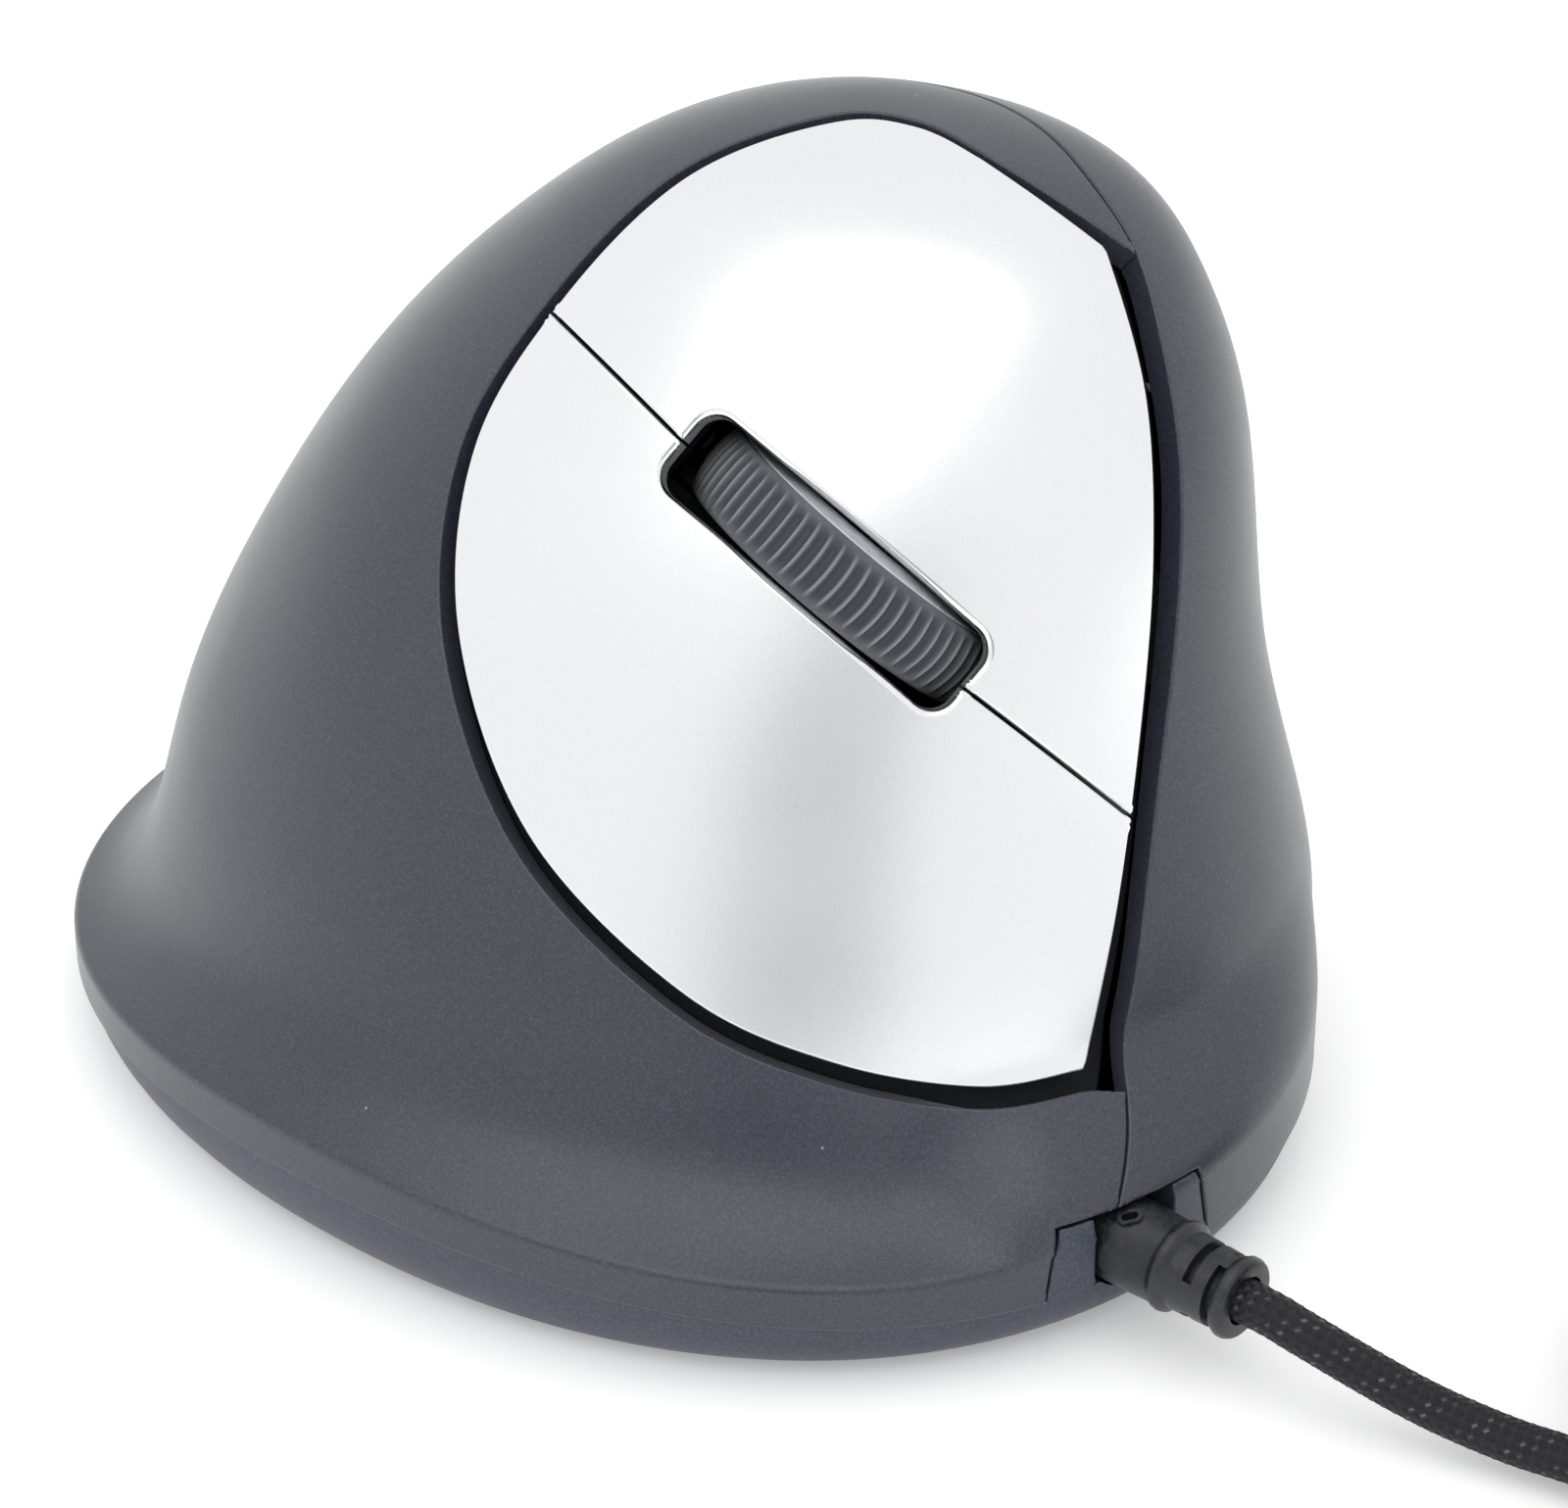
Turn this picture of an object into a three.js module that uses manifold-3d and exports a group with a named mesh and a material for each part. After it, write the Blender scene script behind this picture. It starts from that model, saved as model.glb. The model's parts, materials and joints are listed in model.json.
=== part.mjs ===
// A wired vertical computer mouse for the right hand.
// Millimetres. +Z is up, +Y points to the front where the lead leaves, +X is the finger side.
// The shape is drawn about the line under its crown, and the whole mouse is then moved so that
// the origin is the middle of its footprint on the desk.
import * as THREE from 'three';
import { mergeVertices } from 'three/addons/utils/BufferGeometryUtils.js';
import Module from 'manifold-3d';

const wasm = await Module();
wasm.setup();

// ---------------------------------------------------------------- driving dimensions

// The hand grip is one smooth hump. Eight ribs run up it from the rim to the crown,
// 45 degrees apart around a vertical line, the first one towards +X.
const CROWN_X = -22;
const CROWN_Y = -2;
const CROWN_Z = 80.5;
const FOOTPRINT_CENTRE = [-1.2, -3.2];
const RIB_RADIUS = [
  [64, 67.5, 53.5, 27, 18.5, 32, 53.5, 73],
  [65.5, 62.5, 50.5, 30.5, 20, 32, 54.5, 68.5],
  [59, 56, 50.5, 34, 18.5, 29.5, 53, 64],
  [55, 52.5, 48.5, 32.5, 14, 26.5, 51, 62],
  [48.5, 45, 43, 29, 11.5, 24.5, 46.5, 54.5],
  [39.5, 37.5, 40, 31.5, 13, 23, 39.5, 45],
  [28, 29, 34.5, 30.5, 16, 20, 30, 32],
  [13.5, 17, 21.5, 22.5, 16.5, 14.5, 13.5, 14.5],
  [0, 0, 0, 0, 0, 0, 0, 0],
];
const RIM_HEIGHT = [15, 8.5, 13, 14.5, 7.5, 8, 7, 6.5];
const RIM_FOOT = [11, 5, 6.5, 8, 4.5, 4.5, 4, 3];
const LEVEL_ABOVE_RIM = [0, 1, 3.5];
const LEVEL_HEIGHT = [26, 40, 55, 68, CROWN_Z, CROWN_Z];
// Round the front the wall stands straight up from the rim, with no ledge over it. These are the
// angles between which that comes in and goes out, and how far up the hump it reaches.
const WALL_STARTS = [THREE.MathUtils.degToRad(46), THREE.MathUtils.degToRad(60)];
const WALL_ENDS = [THREE.MathUtils.degToRad(150), THREE.MathUtils.degToRad(180)];
const WALL_TOP = 0.28;
const AROUND = 36;
const UPWARD = 11;

const GAP = 0.3;
const COVER_WALL = 2.2;
const BASE_UNDERSIDE = 0.7;
const BASE_FLOOR = 2.7;
const BASE_TUCK = 4.5;

// The seam between the two covers, as x and z seen from the front.
const SEAM = [[9, -5], [6.3, 10], [-1.4, 19], [-9, 33], [-16, 46.5], [-21.5, 60],
  [-25.5, 70], [-28.5, 75], [-30.5, 77.7], [-34, 79.3], [-40, 81]];

// The finger plate lies in its own frame: u along the wheel, w across it, n out of the plate.
const PLATE_ORIGIN = new THREE.Vector3(4, 19, 58);
const PLATE_NORMAL = new THREE.Vector3(0.61, 0.55, 0.57).normalize();
const WHEEL_RUN = new THREE.Vector3(-0.252, 0.8145, -0.525);
const PLATE_ROUND = [[-12, 33.5], [-18, 32.5], [-23.5, 28.5], [-29.5, 17], [-30.5, 2],
  [-28, -11], [-19, -23], [-4, -31.5], [13.5, -33], [26, -29.5], [36, -23.5], [41.6, -16.9]];
const PLATE_EDGE = [[41.6, -16.9], [35, -5], [26.5, 8], [19, 18], [10.5, 27], [0.5, 34]];
const PLATE_THICK = 1.5;
const BUTTON_SPLIT = [[-45, 3], [-15, 0.1], [15, -0.4], [50, 2]];
const SPLIT_GAP = 0.35;
const SLOT_LENGTH = 30.4;
const SLOT_WIDTH = 7.6;
const SLOT_CORNER = 2;
const TRAY_DEPTH = 2.6;
const TRAY_WALL = 1.5;
const FINGER_BOARD_TOP = -20;
const BOARD_THICK = 1.6;
const SWITCH_U = 6;
const SWITCH_W = 14.5;
const SWITCH_SIZE = [12.8, 5.8, 6.5];
const BOSS_TIP = -12.1;

const WHEEL_CENTRE = [1.2, 1.6, -10.2];
const WHEEL_LEAN = THREE.MathUtils.degToRad(9);
const WHEEL_RADIUS = 14.5;
const TYRE_INNER = 11.8;
const TYRE_WIDTH = 5.6;
const AXLE_RADIUS = 1.3;
const YOKE_PIVOT = [17.5, -3.5];

// Thumb buttons, as the centre height and the two spans along Y.
const THUMB_HEIGHT = 57;
const THUMB_TALL = 7;
const THUMB_SPANS = { thumb_button_front: [3.5, 18.5], thumb_button_rear: [-13.5, 1.5] };
const THUMB_BOARD_X = -30.5;

const MAIN_BOARD = { x: [-24, 20], y: [-30, 26], z: 6.5 };
const SCREW_SPOTS = { screw_finger_rear: [28, -28], screw_finger_front: [31, 14],
  screw_thumb_rear: [-34, -22], screw_thumb_front: [-32.6, 24.3] };
const FOOT_SPANS = { foot_front: [22, 68], foot_finger_rear: [286, 332], foot_thumb: [150, 232] };
const FOOT_INSET = [7.5, 12.5];
const FOOT_THICK = 1;

const PORT_X = 3.2;
const PORT_TOP = 12.4;
const PORT_FLOOR = 3;
const PORT_HALF_TOP = 6.8;
const PORT_HALF_FLOOR = 8.6;
const PORT_HOLE = 7.8;
const LEAD_HEIGHT = 8.4;

// The lead: braided, 1.5 m long in all.
const LEAD_DIAMETER = 3.7;
const LEAD_ROUTE = [[2.4, 66.3, 8.2], [2.2, 68.5, 7.9], [1.6, 71, 7.2], [0.6, 74, 6.1],
  [-0.7, 77.5, 4.8], [-2, 81, 3.8], [-3.6, 86, 3.1], [-5.2, 91.4, 3]];
const COIL_CENTRE = [-30.4, 106];
const COIL_INNER = 14.6;
const COIL_OUTER = 26.2;
const COIL_BASE = 1.2;
const COIL_TOP = 16.4;
const TAIL_ROUTE = [[-5.6, 120.6, 13.4], [-5.4, 124, 12], [-5.6, 127.5, 10.2], [-6.4, 131, 8.4],
  [-7.8, 134.6, 6.8], [-10.2, 138, 5.5], [-13.2, 140.6, 4.8], [-16.6, 142.2, 4.5], [-20.4, 143, 4.5],
  [-24, 143, 4.5]];
const PLUG_X = -21.3;
const PLUG_Y = 143;
const PLUG_Z = 4.5;

// ---------------------------------------------------------------- colours

const slate = { color: 0x3f4146, roughness: 0.62, metalness: 0 };
const slateBase = { color: 0x3a3d44, roughness: 0.5, metalness: 0 };
const silver = { color: 0xd4d5d8, roughness: 0.28, metalness: 0.7 };
const black = { color: 0x0d0e10, roughness: 0.5, metalness: 0 };
const rubber = { color: 0x2b2e32, roughness: 0.75, metalness: 0 };
const greyPlastic = { color: 0x55585c, roughness: 0.45, metalness: 0 };
const whitePlastic = { color: 0xe6e4dc, roughness: 0.4, metalness: 0 };
const board = { color: 0x1f5a34, roughness: 0.45, metalness: 0.05 };
const steel = { color: 0xb9bcc0, roughness: 0.3, metalness: 1 };
const clear = { color: 0xdfe8ee, roughness: 0.1, metalness: 0 };
const slick = { color: 0x1c1c1e, roughness: 0.35, metalness: 0 };
const braid = { color: 0x26272a, roughness: 0.8, metalness: 0 };
const amber = { color: 0xb3552b, roughness: 0.4, metalness: 0 };

// ---------------------------------------------------------------- solids

function toSolid(geometry) {
  const bare = geometry.clone();
  bare.deleteAttribute('normal');
  bare.deleteAttribute('uv');
  const merged = mergeVertices(bare, 1e-4);
  const source = merged.getIndex().array;
  const kept = [];
  for (let i = 0; i < source.length; i += 3) {
    const [a, b, c] = [source[i], source[i + 1], source[i + 2]];
    if (a !== b && b !== c && c !== a) kept.push(a, b, c);
  }
  return new wasm.Manifold(new wasm.Mesh({
    numProp: 3,
    vertProperties: new Float32Array(merged.getAttribute('position').array),
    triVerts: new Uint32Array(kept),
  }));
}

function toGeometry(manifold) {
  const mesh = manifold.getMesh();
  const geometry = new THREE.BufferGeometry();
  geometry.setAttribute('position', new THREE.BufferAttribute(mesh.vertProperties, 3));
  geometry.setIndex(new THREE.BufferAttribute(mesh.triVerts, 1));
  geometry.computeVertexNormals();
  return geometry;
}

function named(name, shape, look) {
  const geometry = shape.isBufferGeometry ? shape : toGeometry(shape);
  const mesh = new THREE.Mesh(geometry, new THREE.MeshStandardMaterial(look));
  mesh.name = name;
  return mesh;
}

function box(size, centre) {
  return toSolid(new THREE.BoxGeometry(...size).translate(...centre));
}

// A round bar along x, y or z between two stations.
function bar(axis, radius, from, to, across, segments = 20) {
  const geometry = new THREE.CylinderGeometry(radius, radius, to - from, segments);
  const middle = (from + to) / 2;
  if (axis === 'x') geometry.rotateZ(-Math.PI / 2).translate(middle, across[0], across[1]);
  if (axis === 'y') geometry.translate(across[0], middle, across[1]);
  if (axis === 'z') geometry.rotateX(Math.PI / 2).translate(across[0], across[1], middle);
  return toSolid(geometry);
}

function extrude(shape, from, to) {
  const settings = { depth: to - from, bevelEnabled: false, curveSegments: 4 };
  return new THREE.ExtrudeGeometry(shape, settings).translate(0, 0, from);
}

// A prism whose outline is drawn in x and z and which runs along Y.
function prismAlongY(shape, from, to) {
  return toSolid(extrude(shape, -to, -from).rotateX(Math.PI / 2));
}

// A prism whose outline is drawn in y and z and which runs along X.
function prismAlongX(shape, from, to) {
  return toSolid(extrude(shape, from, to).rotateX(Math.PI / 2).rotateZ(Math.PI / 2));
}

function points(list) {
  return list.map(([x, y]) => new THREE.Vector2(x, y));
}

function polygon(list) {
  return new THREE.Shape(points(list));
}

function roundedRectangle(width, height, radius, x = 0, y = 0) {
  const shape = new THREE.Shape();
  const [l, r, b, t] = [x - width / 2, x + width / 2, y - height / 2, y + height / 2];
  shape.moveTo(l + radius, b);
  shape.lineTo(r - radius, b);
  shape.absarc(r - radius, b + radius, radius, -Math.PI / 2, 0);
  shape.lineTo(r, t - radius);
  shape.absarc(r - radius, t - radius, radius, 0, Math.PI / 2);
  shape.lineTo(l + radius, t);
  shape.absarc(l + radius, t - radius, radius, Math.PI / 2, Math.PI);
  shape.lineTo(l, b + radius);
  shape.absarc(l + radius, b + radius, radius, Math.PI, Math.PI * 1.5);
  return shape;
}

// A solid skinned over rings of equal count, closed by a fan at each end.
function skin(rings, bottom, top) {
  const count = rings[0].length;
  const corners = rings.flat().concat([bottom, top]);
  const triangles = [];
  rings.slice(1).forEach((_, row) => {
    for (let i = 0; i < count; i++) {
      const j = (i + 1) % count;
      const [a, b] = [row * count + i, row * count + j];
      const [c, d] = [a + count, b + count];
      triangles.push(a, b, d, a, d, c);
    }
  });
  const last = (rings.length - 1) * count;
  const [low, high] = [corners.length - 2, corners.length - 1];
  for (let i = 0; i < count; i++) {
    const j = (i + 1) % count;
    triangles.push(low, j, i);
    triangles.push(high, last + i, last + j);
  }
  const geometry = new THREE.BufferGeometry().setFromPoints(corners);
  geometry.setIndex(triangles);
  return toSolid(geometry);
}

// ---------------------------------------------------------------- the hump

// Value at an angle of a smooth closed curve through eight ribs.
function aroundRibs(values, angle) {
  const place = ((angle / (2 * Math.PI)) * 8 + 8) % 8;
  const rib = Math.floor(place);
  const t = place - rib;
  const weights = [(1 - t) ** 3, 3 * t ** 3 - 6 * t ** 2 + 4, -3 * t ** 3 + 3 * t ** 2 + 3 * t + 1, t ** 3];
  return weights.reduce((sum, weight, i) => sum + (weight / 6) * values[(rib + 7 + i) % 8], 0);
}

// Value at t from 0 to 1 of a cubic spline that starts and ends on its first and last level.
function upLevels(values, t) {
  const spans = values.length - 3;
  const place = t * spans;
  const span = Math.min(Math.floor(place), spans - 1);
  const knot = (i) => Math.min(Math.max(i - 3, 0), spans);
  const near = values.slice(span, span + 4);
  for (let round = 1; round <= 3; round++) {
    for (let i = 3; i >= round; i--) {
      const low = knot(i + span);
      const high = knot(i + 4 - round + span);
      const share = (place - low) / (high - low);
      near[i] = (1 - share) * near[i - 1] + share * near[i];
    }
  }
  return near[3];
}

// Radius and height of the ribs' own surface.
function ribSurface(angle, t) {
  const radii = RIB_RADIUS.map((row) => aroundRibs(row, angle));
  const rim = aroundRibs(RIM_HEIGHT, angle);
  const heights = LEVEL_ABOVE_RIM.map((rise) => rim + rise).concat(LEVEL_HEIGHT);
  return [upLevels(radii, t), upLevels(heights, t)];
}

// Radius at a height of a wall that leaves the rim upright and joins the ribs' surface smoothly.
function wallRadius(angle, height) {
  const [rimRadius, rimHeight] = ribSurface(angle, 0);
  const [topRadius, topHeight] = ribSurface(angle, WALL_TOP);
  const [nextRadius, nextHeight] = ribSurface(angle, WALL_TOP + 0.001);
  const rise = topHeight - rimHeight;
  const slope = ((nextRadius - topRadius) / (nextHeight - topHeight)) * rise;
  const h = (height - rimHeight) / rise;
  return rimRadius * (1 - h) ** 2 * (1 + 2 * h) + topRadius * h * h * (3 - 2 * h) + slope * h * h * (h - 1);
}

function humpPoint(angle, t) {
  const [ribRadius, height] = ribSurface(angle, t);
  let radius = ribRadius;
  if (t < WALL_TOP) {
    const comes = THREE.MathUtils.smoothstep(angle, ...WALL_STARTS);
    const goes = THREE.MathUtils.smoothstep(angle, ...WALL_ENDS);
    radius += comes * (1 - goes) * Math.max(0, wallRadius(angle, height) - ribRadius);
  }
  return new THREE.Vector3(CROWN_X + radius * Math.cos(angle), CROWN_Y + radius * Math.sin(angle), height);
}

// A point under the hump's skin, measured square to it.
function humpInside(angle, t, depth) {
  const here = humpPoint(angle, t);
  const step = 0.01;
  const along = humpPoint(angle + step, t).sub(humpPoint(angle - step, t));
  const up = humpPoint(angle, Math.min(t + step, 0.995)).sub(humpPoint(angle, Math.max(t - step, 0)));
  return here.addScaledVector(along.cross(up).normalize(), -depth);
}

const ANGLES = Array.from({ length: AROUND }, (_, i) => (i / AROUND) * 2 * Math.PI);

// The rim's outline at an angle, moved inwards and set at a height.
function rimPoint(angle, inset, height) {
  const step = 0.01;
  const here = humpPoint(angle, 0);
  const along = humpPoint(angle + step, 0).sub(humpPoint(angle - step, 0)).setZ(0).normalize();
  return new THREE.Vector3(here.x - along.y * inset, here.y + along.x * inset, height);
}

function rimRing(inset, heightAt) {
  return ANGLES.map((angle) => rimPoint(angle, inset, heightAt(angle)));
}

// The whole hump, shrunk by a depth, from a little above or below its lower edge to the crown.
function hump(depth, drop) {
  const rows = [rimRing(depth, (angle) => aroundRibs(RIM_FOOT, angle) - drop)];
  const first = depth > 0 ? 2 : 0;
  if (depth > 0) rows.push(rimRing(depth, (angle) => aroundRibs(RIM_HEIGHT, angle) - 0.4 * depth));
  for (let row = first; row < UPWARD; row++) {
    rows.push(ANGLES.map((angle) => humpInside(angle, row / UPWARD, depth)));
  }
  const bottom = new THREE.Vector3(CROWN_X, CROWN_Y, 6.5 - drop);
  const top = new THREE.Vector3(CROWN_X, CROWN_Y, CROWN_Z - depth);
  return skin(rows, bottom, top);
}

const outerHump = hump(0, 0);
const coverInside = hump(COVER_WALL, 9);
const coverShell = outerHump.subtract(coverInside);

// ---------------------------------------------------------------- cutting shapes

function seamPrism(shift) {
  const curve = new THREE.SplineCurve(points(SEAM)).getPoints(16);
  const shape = new THREE.Shape(curve.map((p) => new THREE.Vector2(p.x + shift, p.y)));
  shape.lineTo(-90, 95);
  shape.lineTo(-90, -5);
  return prismAlongY(shape, -90, 90);
}

function portOutline(margin) {
  return polygon([
    [PORT_X - PORT_HALF_FLOOR - margin, PORT_FLOOR - 4 * margin],
    [PORT_X + PORT_HALF_FLOOR + margin, PORT_FLOOR - 4 * margin],
    [PORT_X + PORT_HALF_TOP + margin, PORT_TOP + margin],
    [PORT_X - PORT_HALF_TOP - margin, PORT_TOP + margin],
  ]);
}

const plateAxisU = WHEEL_RUN.clone().addScaledVector(PLATE_NORMAL, -WHEEL_RUN.dot(PLATE_NORMAL)).normalize();
const plateAxisW = PLATE_NORMAL.clone().cross(plateAxisU);
const plateFrame = new THREE.Matrix4().makeBasis(plateAxisU, plateAxisW, PLATE_NORMAL).setPosition(PLATE_ORIGIN);
const plateFrameBack = plateFrame.clone().invert();

function place(manifold, matrix) {
  return toSolid(toGeometry(manifold).applyMatrix4(matrix));
}

function platePrism(shape, from, to) {
  return toSolid(extrude(shape, from, to).applyMatrix4(plateFrame));
}

function plateShape() {
  const round = new THREE.SplineCurve(points(PLATE_ROUND)).getPoints(24);
  const edge = new THREE.SplineCurve(points(PLATE_EDGE)).getPoints(8);
  return new THREE.Shape(round.concat(edge.slice(1)));
}

// The hole that the finger plate sits in. The gap round the plate is widest at its lower edge,
// and the side along the seam is left open for the other cover's edge.
function openingShape() {
  const widen = ([u, w]) => [u * 1.03, w * 1.03 - 0.6];
  const round = new THREE.SplineCurve(points(PLATE_ROUND.map(widen))).getPoints(24);
  const shape = new THREE.Shape(round);
  shape.lineTo(55, -9);
  shape.lineTo(30, 37.9);
  return shape;
}

function trayShape() {
  const widen = ([u, w]) => [u * 1.08, w * 1.08];
  const round = new THREE.SplineCurve(points(PLATE_ROUND.map(widen))).getPoints(16);
  const edge = new THREE.SplineCurve(points(PLATE_EDGE.map(widen))).getPoints(6);
  return new THREE.Shape(round.concat(edge.slice(1)));
}

function thumbShape(span, margin) {
  const length = span[1] - span[0] + 2 * margin;
  const height = THUMB_TALL + 2 * margin;
  return roundedRectangle(length, height, height / 2 - 0.4, (span[0] + span[1]) / 2, THUMB_HEIGHT);
}

// ---------------------------------------------------------------- shell pieces

function screwPost(spot) {
  const post = bar('z', 2.6, 5.3, 75, spot, 16).intersect(hump(COVER_WALL / 2, 0));
  return post.subtract(bar('z', 1.5, 0, 16, spot, 12));
}

function fingerSideCover() {
  let cover = coverShell.subtract(seamPrism(GAP));
  cover = cover.subtract(platePrism(openingShape(), -22, 14));
  cover = cover.subtract(prismAlongY(portOutline(GAP), 36, 70));
  cover = cover.add(screwPost(SCREW_SPOTS.screw_finger_rear));
  cover = cover.add(screwPost(SCREW_SPOTS.screw_finger_front));
  return named('finger_side_cover', cover, slate);
}

function thumbSideCover() {
  let cover = coverShell.intersect(seamPrism(0));
  cover = cover.subtract(prismAlongY(portOutline(GAP), 36, 70));
  for (const span of Object.values(THUMB_SPANS)) {
    cover = cover.subtract(prismAlongX(thumbShape(span, 0.35), -60, -30));
  }
  const grip = hump(COVER_WALL / 2, 0);
  for (const y of [-14, 19]) {
    cover = cover.add(bar('x', 1.6, -60, THUMB_BOARD_X - GAP, [y, 50], 12).intersect(grip));
  }
  cover = cover.add(screwPost(SCREW_SPOTS.screw_thumb_rear));
  cover = cover.add(screwPost(SCREW_SPOTS.screw_thumb_front));
  return named('thumb_side_cover', cover, slate);
}

function basePlate() {
  const foot = (angle) => aroundRibs(RIM_FOOT, angle);
  const rings = [
    rimRing(BASE_TUCK, () => BASE_UNDERSIDE),
    rimRing(2, (angle) => BASE_UNDERSIDE + 0.35 * (foot(angle) - BASE_UNDERSIDE)),
    rimRing(0.6, (angle) => foot(angle) - GAP),
    rimRing(COVER_WALL + GAP, (angle) => foot(angle) - GAP),
    rimRing(COVER_WALL + GAP + 0.1, (angle) => foot(angle) + 1.5),
  ];
  const middle = (height) => new THREE.Vector3(CROWN_X, CROWN_Y, height);
  const outside = skin(rings, middle(BASE_UNDERSIDE), middle(7));
  const cavity = skin([
    rimRing(BASE_TUCK + 1.5, () => BASE_FLOOR),
    rimRing(COVER_WALL + GAP + 1.8, () => 20),
  ], middle(BASE_FLOOR), middle(20));
  let base = outside.subtract(cavity);
  for (const spot of Object.values(SCREW_SPOTS)) {
    base = base.add(bar('z', 4.2, BASE_FLOOR - 0.5, 5, spot, 16));
    base = base.subtract(bar('z', 2.6, 0, 2.9, spot, 16)).subtract(bar('z', 1.5, 0, 8, spot, 12));
  }
  for (const x of [MAIN_BOARD.x[0] + 4, MAIN_BOARD.x[1] - 4]) {
    for (const y of [MAIN_BOARD.y[0] + 4, MAIN_BOARD.y[1] - 4]) {
      base = base.add(bar('z', 2.2, BASE_FLOOR - 0.5, MAIN_BOARD.z - GAP, [x, y], 12));
    }
  }
  for (const span of Object.values(FOOT_SPANS)) {
    base = base.subtract(footSolid(span, GAP, 0, FOOT_THICK + GAP));
  }
  base = base.subtract(box([14.6, 9.6, 6], [0, 0, 2]));
  base = base.subtract(prismAlongY(portOutline(GAP), 36, 70));
  base = base.subtract(bar('y', 4, 36, 60, [PORT_X, LEAD_HEIGHT], 16));
  return named('base_plate', base, slateBase);
}

// A curved glide pad that follows the rim between two angles.
function footSolid(span, margin, from, to) {
  const extra = margin / 40;
  const [start, end] = span.map(THREE.MathUtils.degToRad);
  const steps = 10;
  const shape = new THREE.Shape();
  const angleAt = (i) => start - extra + ((end - start + 2 * extra) * i) / steps;
  for (let i = 0; i <= steps; i++) {
    const p = rimPoint(angleAt(i), FOOT_INSET[0] - margin, 0);
    if (i === 0) shape.moveTo(p.x, p.y);
    else shape.lineTo(p.x, p.y);
  }
  for (let i = steps; i >= 0; i--) {
    const p = rimPoint(angleAt(i), FOOT_INSET[1] + margin, 0);
    shape.lineTo(p.x, p.y);
  }
  return toSolid(extrude(shape, from, to));
}

function feet() {
  return Object.entries(FOOT_SPANS).map(([name, span]) => named(name, footSolid(span, 0, 0, FOOT_THICK), slick));
}

function portInsert() {
  const band = hump(0, 3).subtract(hump(COVER_WALL + 0.6, 12));
  const face = band.intersect(prismAlongY(portOutline(0), 36, 70));
  const hole = box([PORT_HOLE, 40, 12], [PORT_X, 52, LEAD_HEIGHT - PORT_HOLE / 2 + 6]);
  return named('cable_port_insert', face.subtract(hole), slateBase);
}

// ---------------------------------------------------------------- finger buttons and tray

function platePiece(above) {
  const skinShell = outerHump.subtract(hump(PLATE_THICK, 4));
  const slot = platePrism(roundedRectangle(SLOT_LENGTH, SLOT_WIDTH, SLOT_CORNER), -20, 14);
  const shift = above ? 0 : -SPLIT_GAP;
  const side = new THREE.Shape(points(BUTTON_SPLIT.map(([u, w]) => [u, w + shift])));
  side.lineTo(60, above ? 60 : -60);
  side.lineTo(-60, above ? 60 : -60);
  let piece = skinShell.intersect(platePrism(plateShape(), -20, 12)).subtract(slot);
  piece = piece.intersect(platePrism(side, -24, 14));
  const across = above ? SWITCH_W : -SWITCH_W;
  const boss = place(bar('z', 1.8, BOSS_TIP, 6, [SWITCH_U, across], 12), plateFrame);
  return piece.add(boss.intersect(hump(PLATE_THICK / 2, 0)));
}

function buttonTray() {
  const shell = hump(TRAY_DEPTH, 4).subtract(hump(TRAY_DEPTH + TRAY_WALL, 5));
  let tray = shell.intersect(platePrism(trayShape(), -22, 12));
  tray = tray.intersect(hump(COVER_WALL + GAP, 4));
  tray = tray.subtract(platePrism(roundedRectangle(46, 19, 3, 4, 1.5), -24, 12));
  const core = hump(TRAY_DEPTH + TRAY_WALL / 2, 0);
  for (const across of [-SWITCH_W, SWITCH_W]) {
    tray = tray.subtract(place(bar('z', 3, -30, 10, [SWITCH_U, across], 16), plateFrame));
  }
  for (const [u, w] of [[-19, 15], [-19, -15], [22, -16], [22, 14]]) {
    const post = bar('z', 1.8, FINGER_BOARD_TOP + GAP, 5, [u, w], 12);
    tray = tray.add(place(post, plateFrame).intersect(core));
  }
  return named('button_tray', tray, black);
}

// ---------------------------------------------------------------- wheel group, in the plate frame

function lathe(profile, segments) {
  return toSolid(new THREE.LatheGeometry(points(profile), segments));
}

function wheelTyre() {
  const half = TYRE_WIDTH / 2;
  const profile = [[TYRE_INNER, -half], [13.2, -half], [14.1, -half + 0.8], [WHEEL_RADIUS, 0],
    [14.1, half - 0.8], [13.2, half], [TYRE_INNER, half], [TYRE_INNER, -half]];
  return named('wheel_tyre', lathe(profile, 32), rubber);
}

function wheelHub() {
  const profile = [[0, -7], [AXLE_RADIUS, -7], [AXLE_RADIUS, -2.6], [3, -2.6], [3, -1], [9.8, -1], [9.8, -2.5],
    [TYRE_INNER - GAP, -2.5], [TYRE_INNER - GAP, 2.5], [9.8, 2.5], [9.8, 1], [3, 1], [3, 2.6],
    [AXLE_RADIUS, 2.6], [AXLE_RADIUS, 9.2], [0, 9.2]];
  return named('wheel_hub', lathe(profile, 20), greyPlastic);
}

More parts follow.
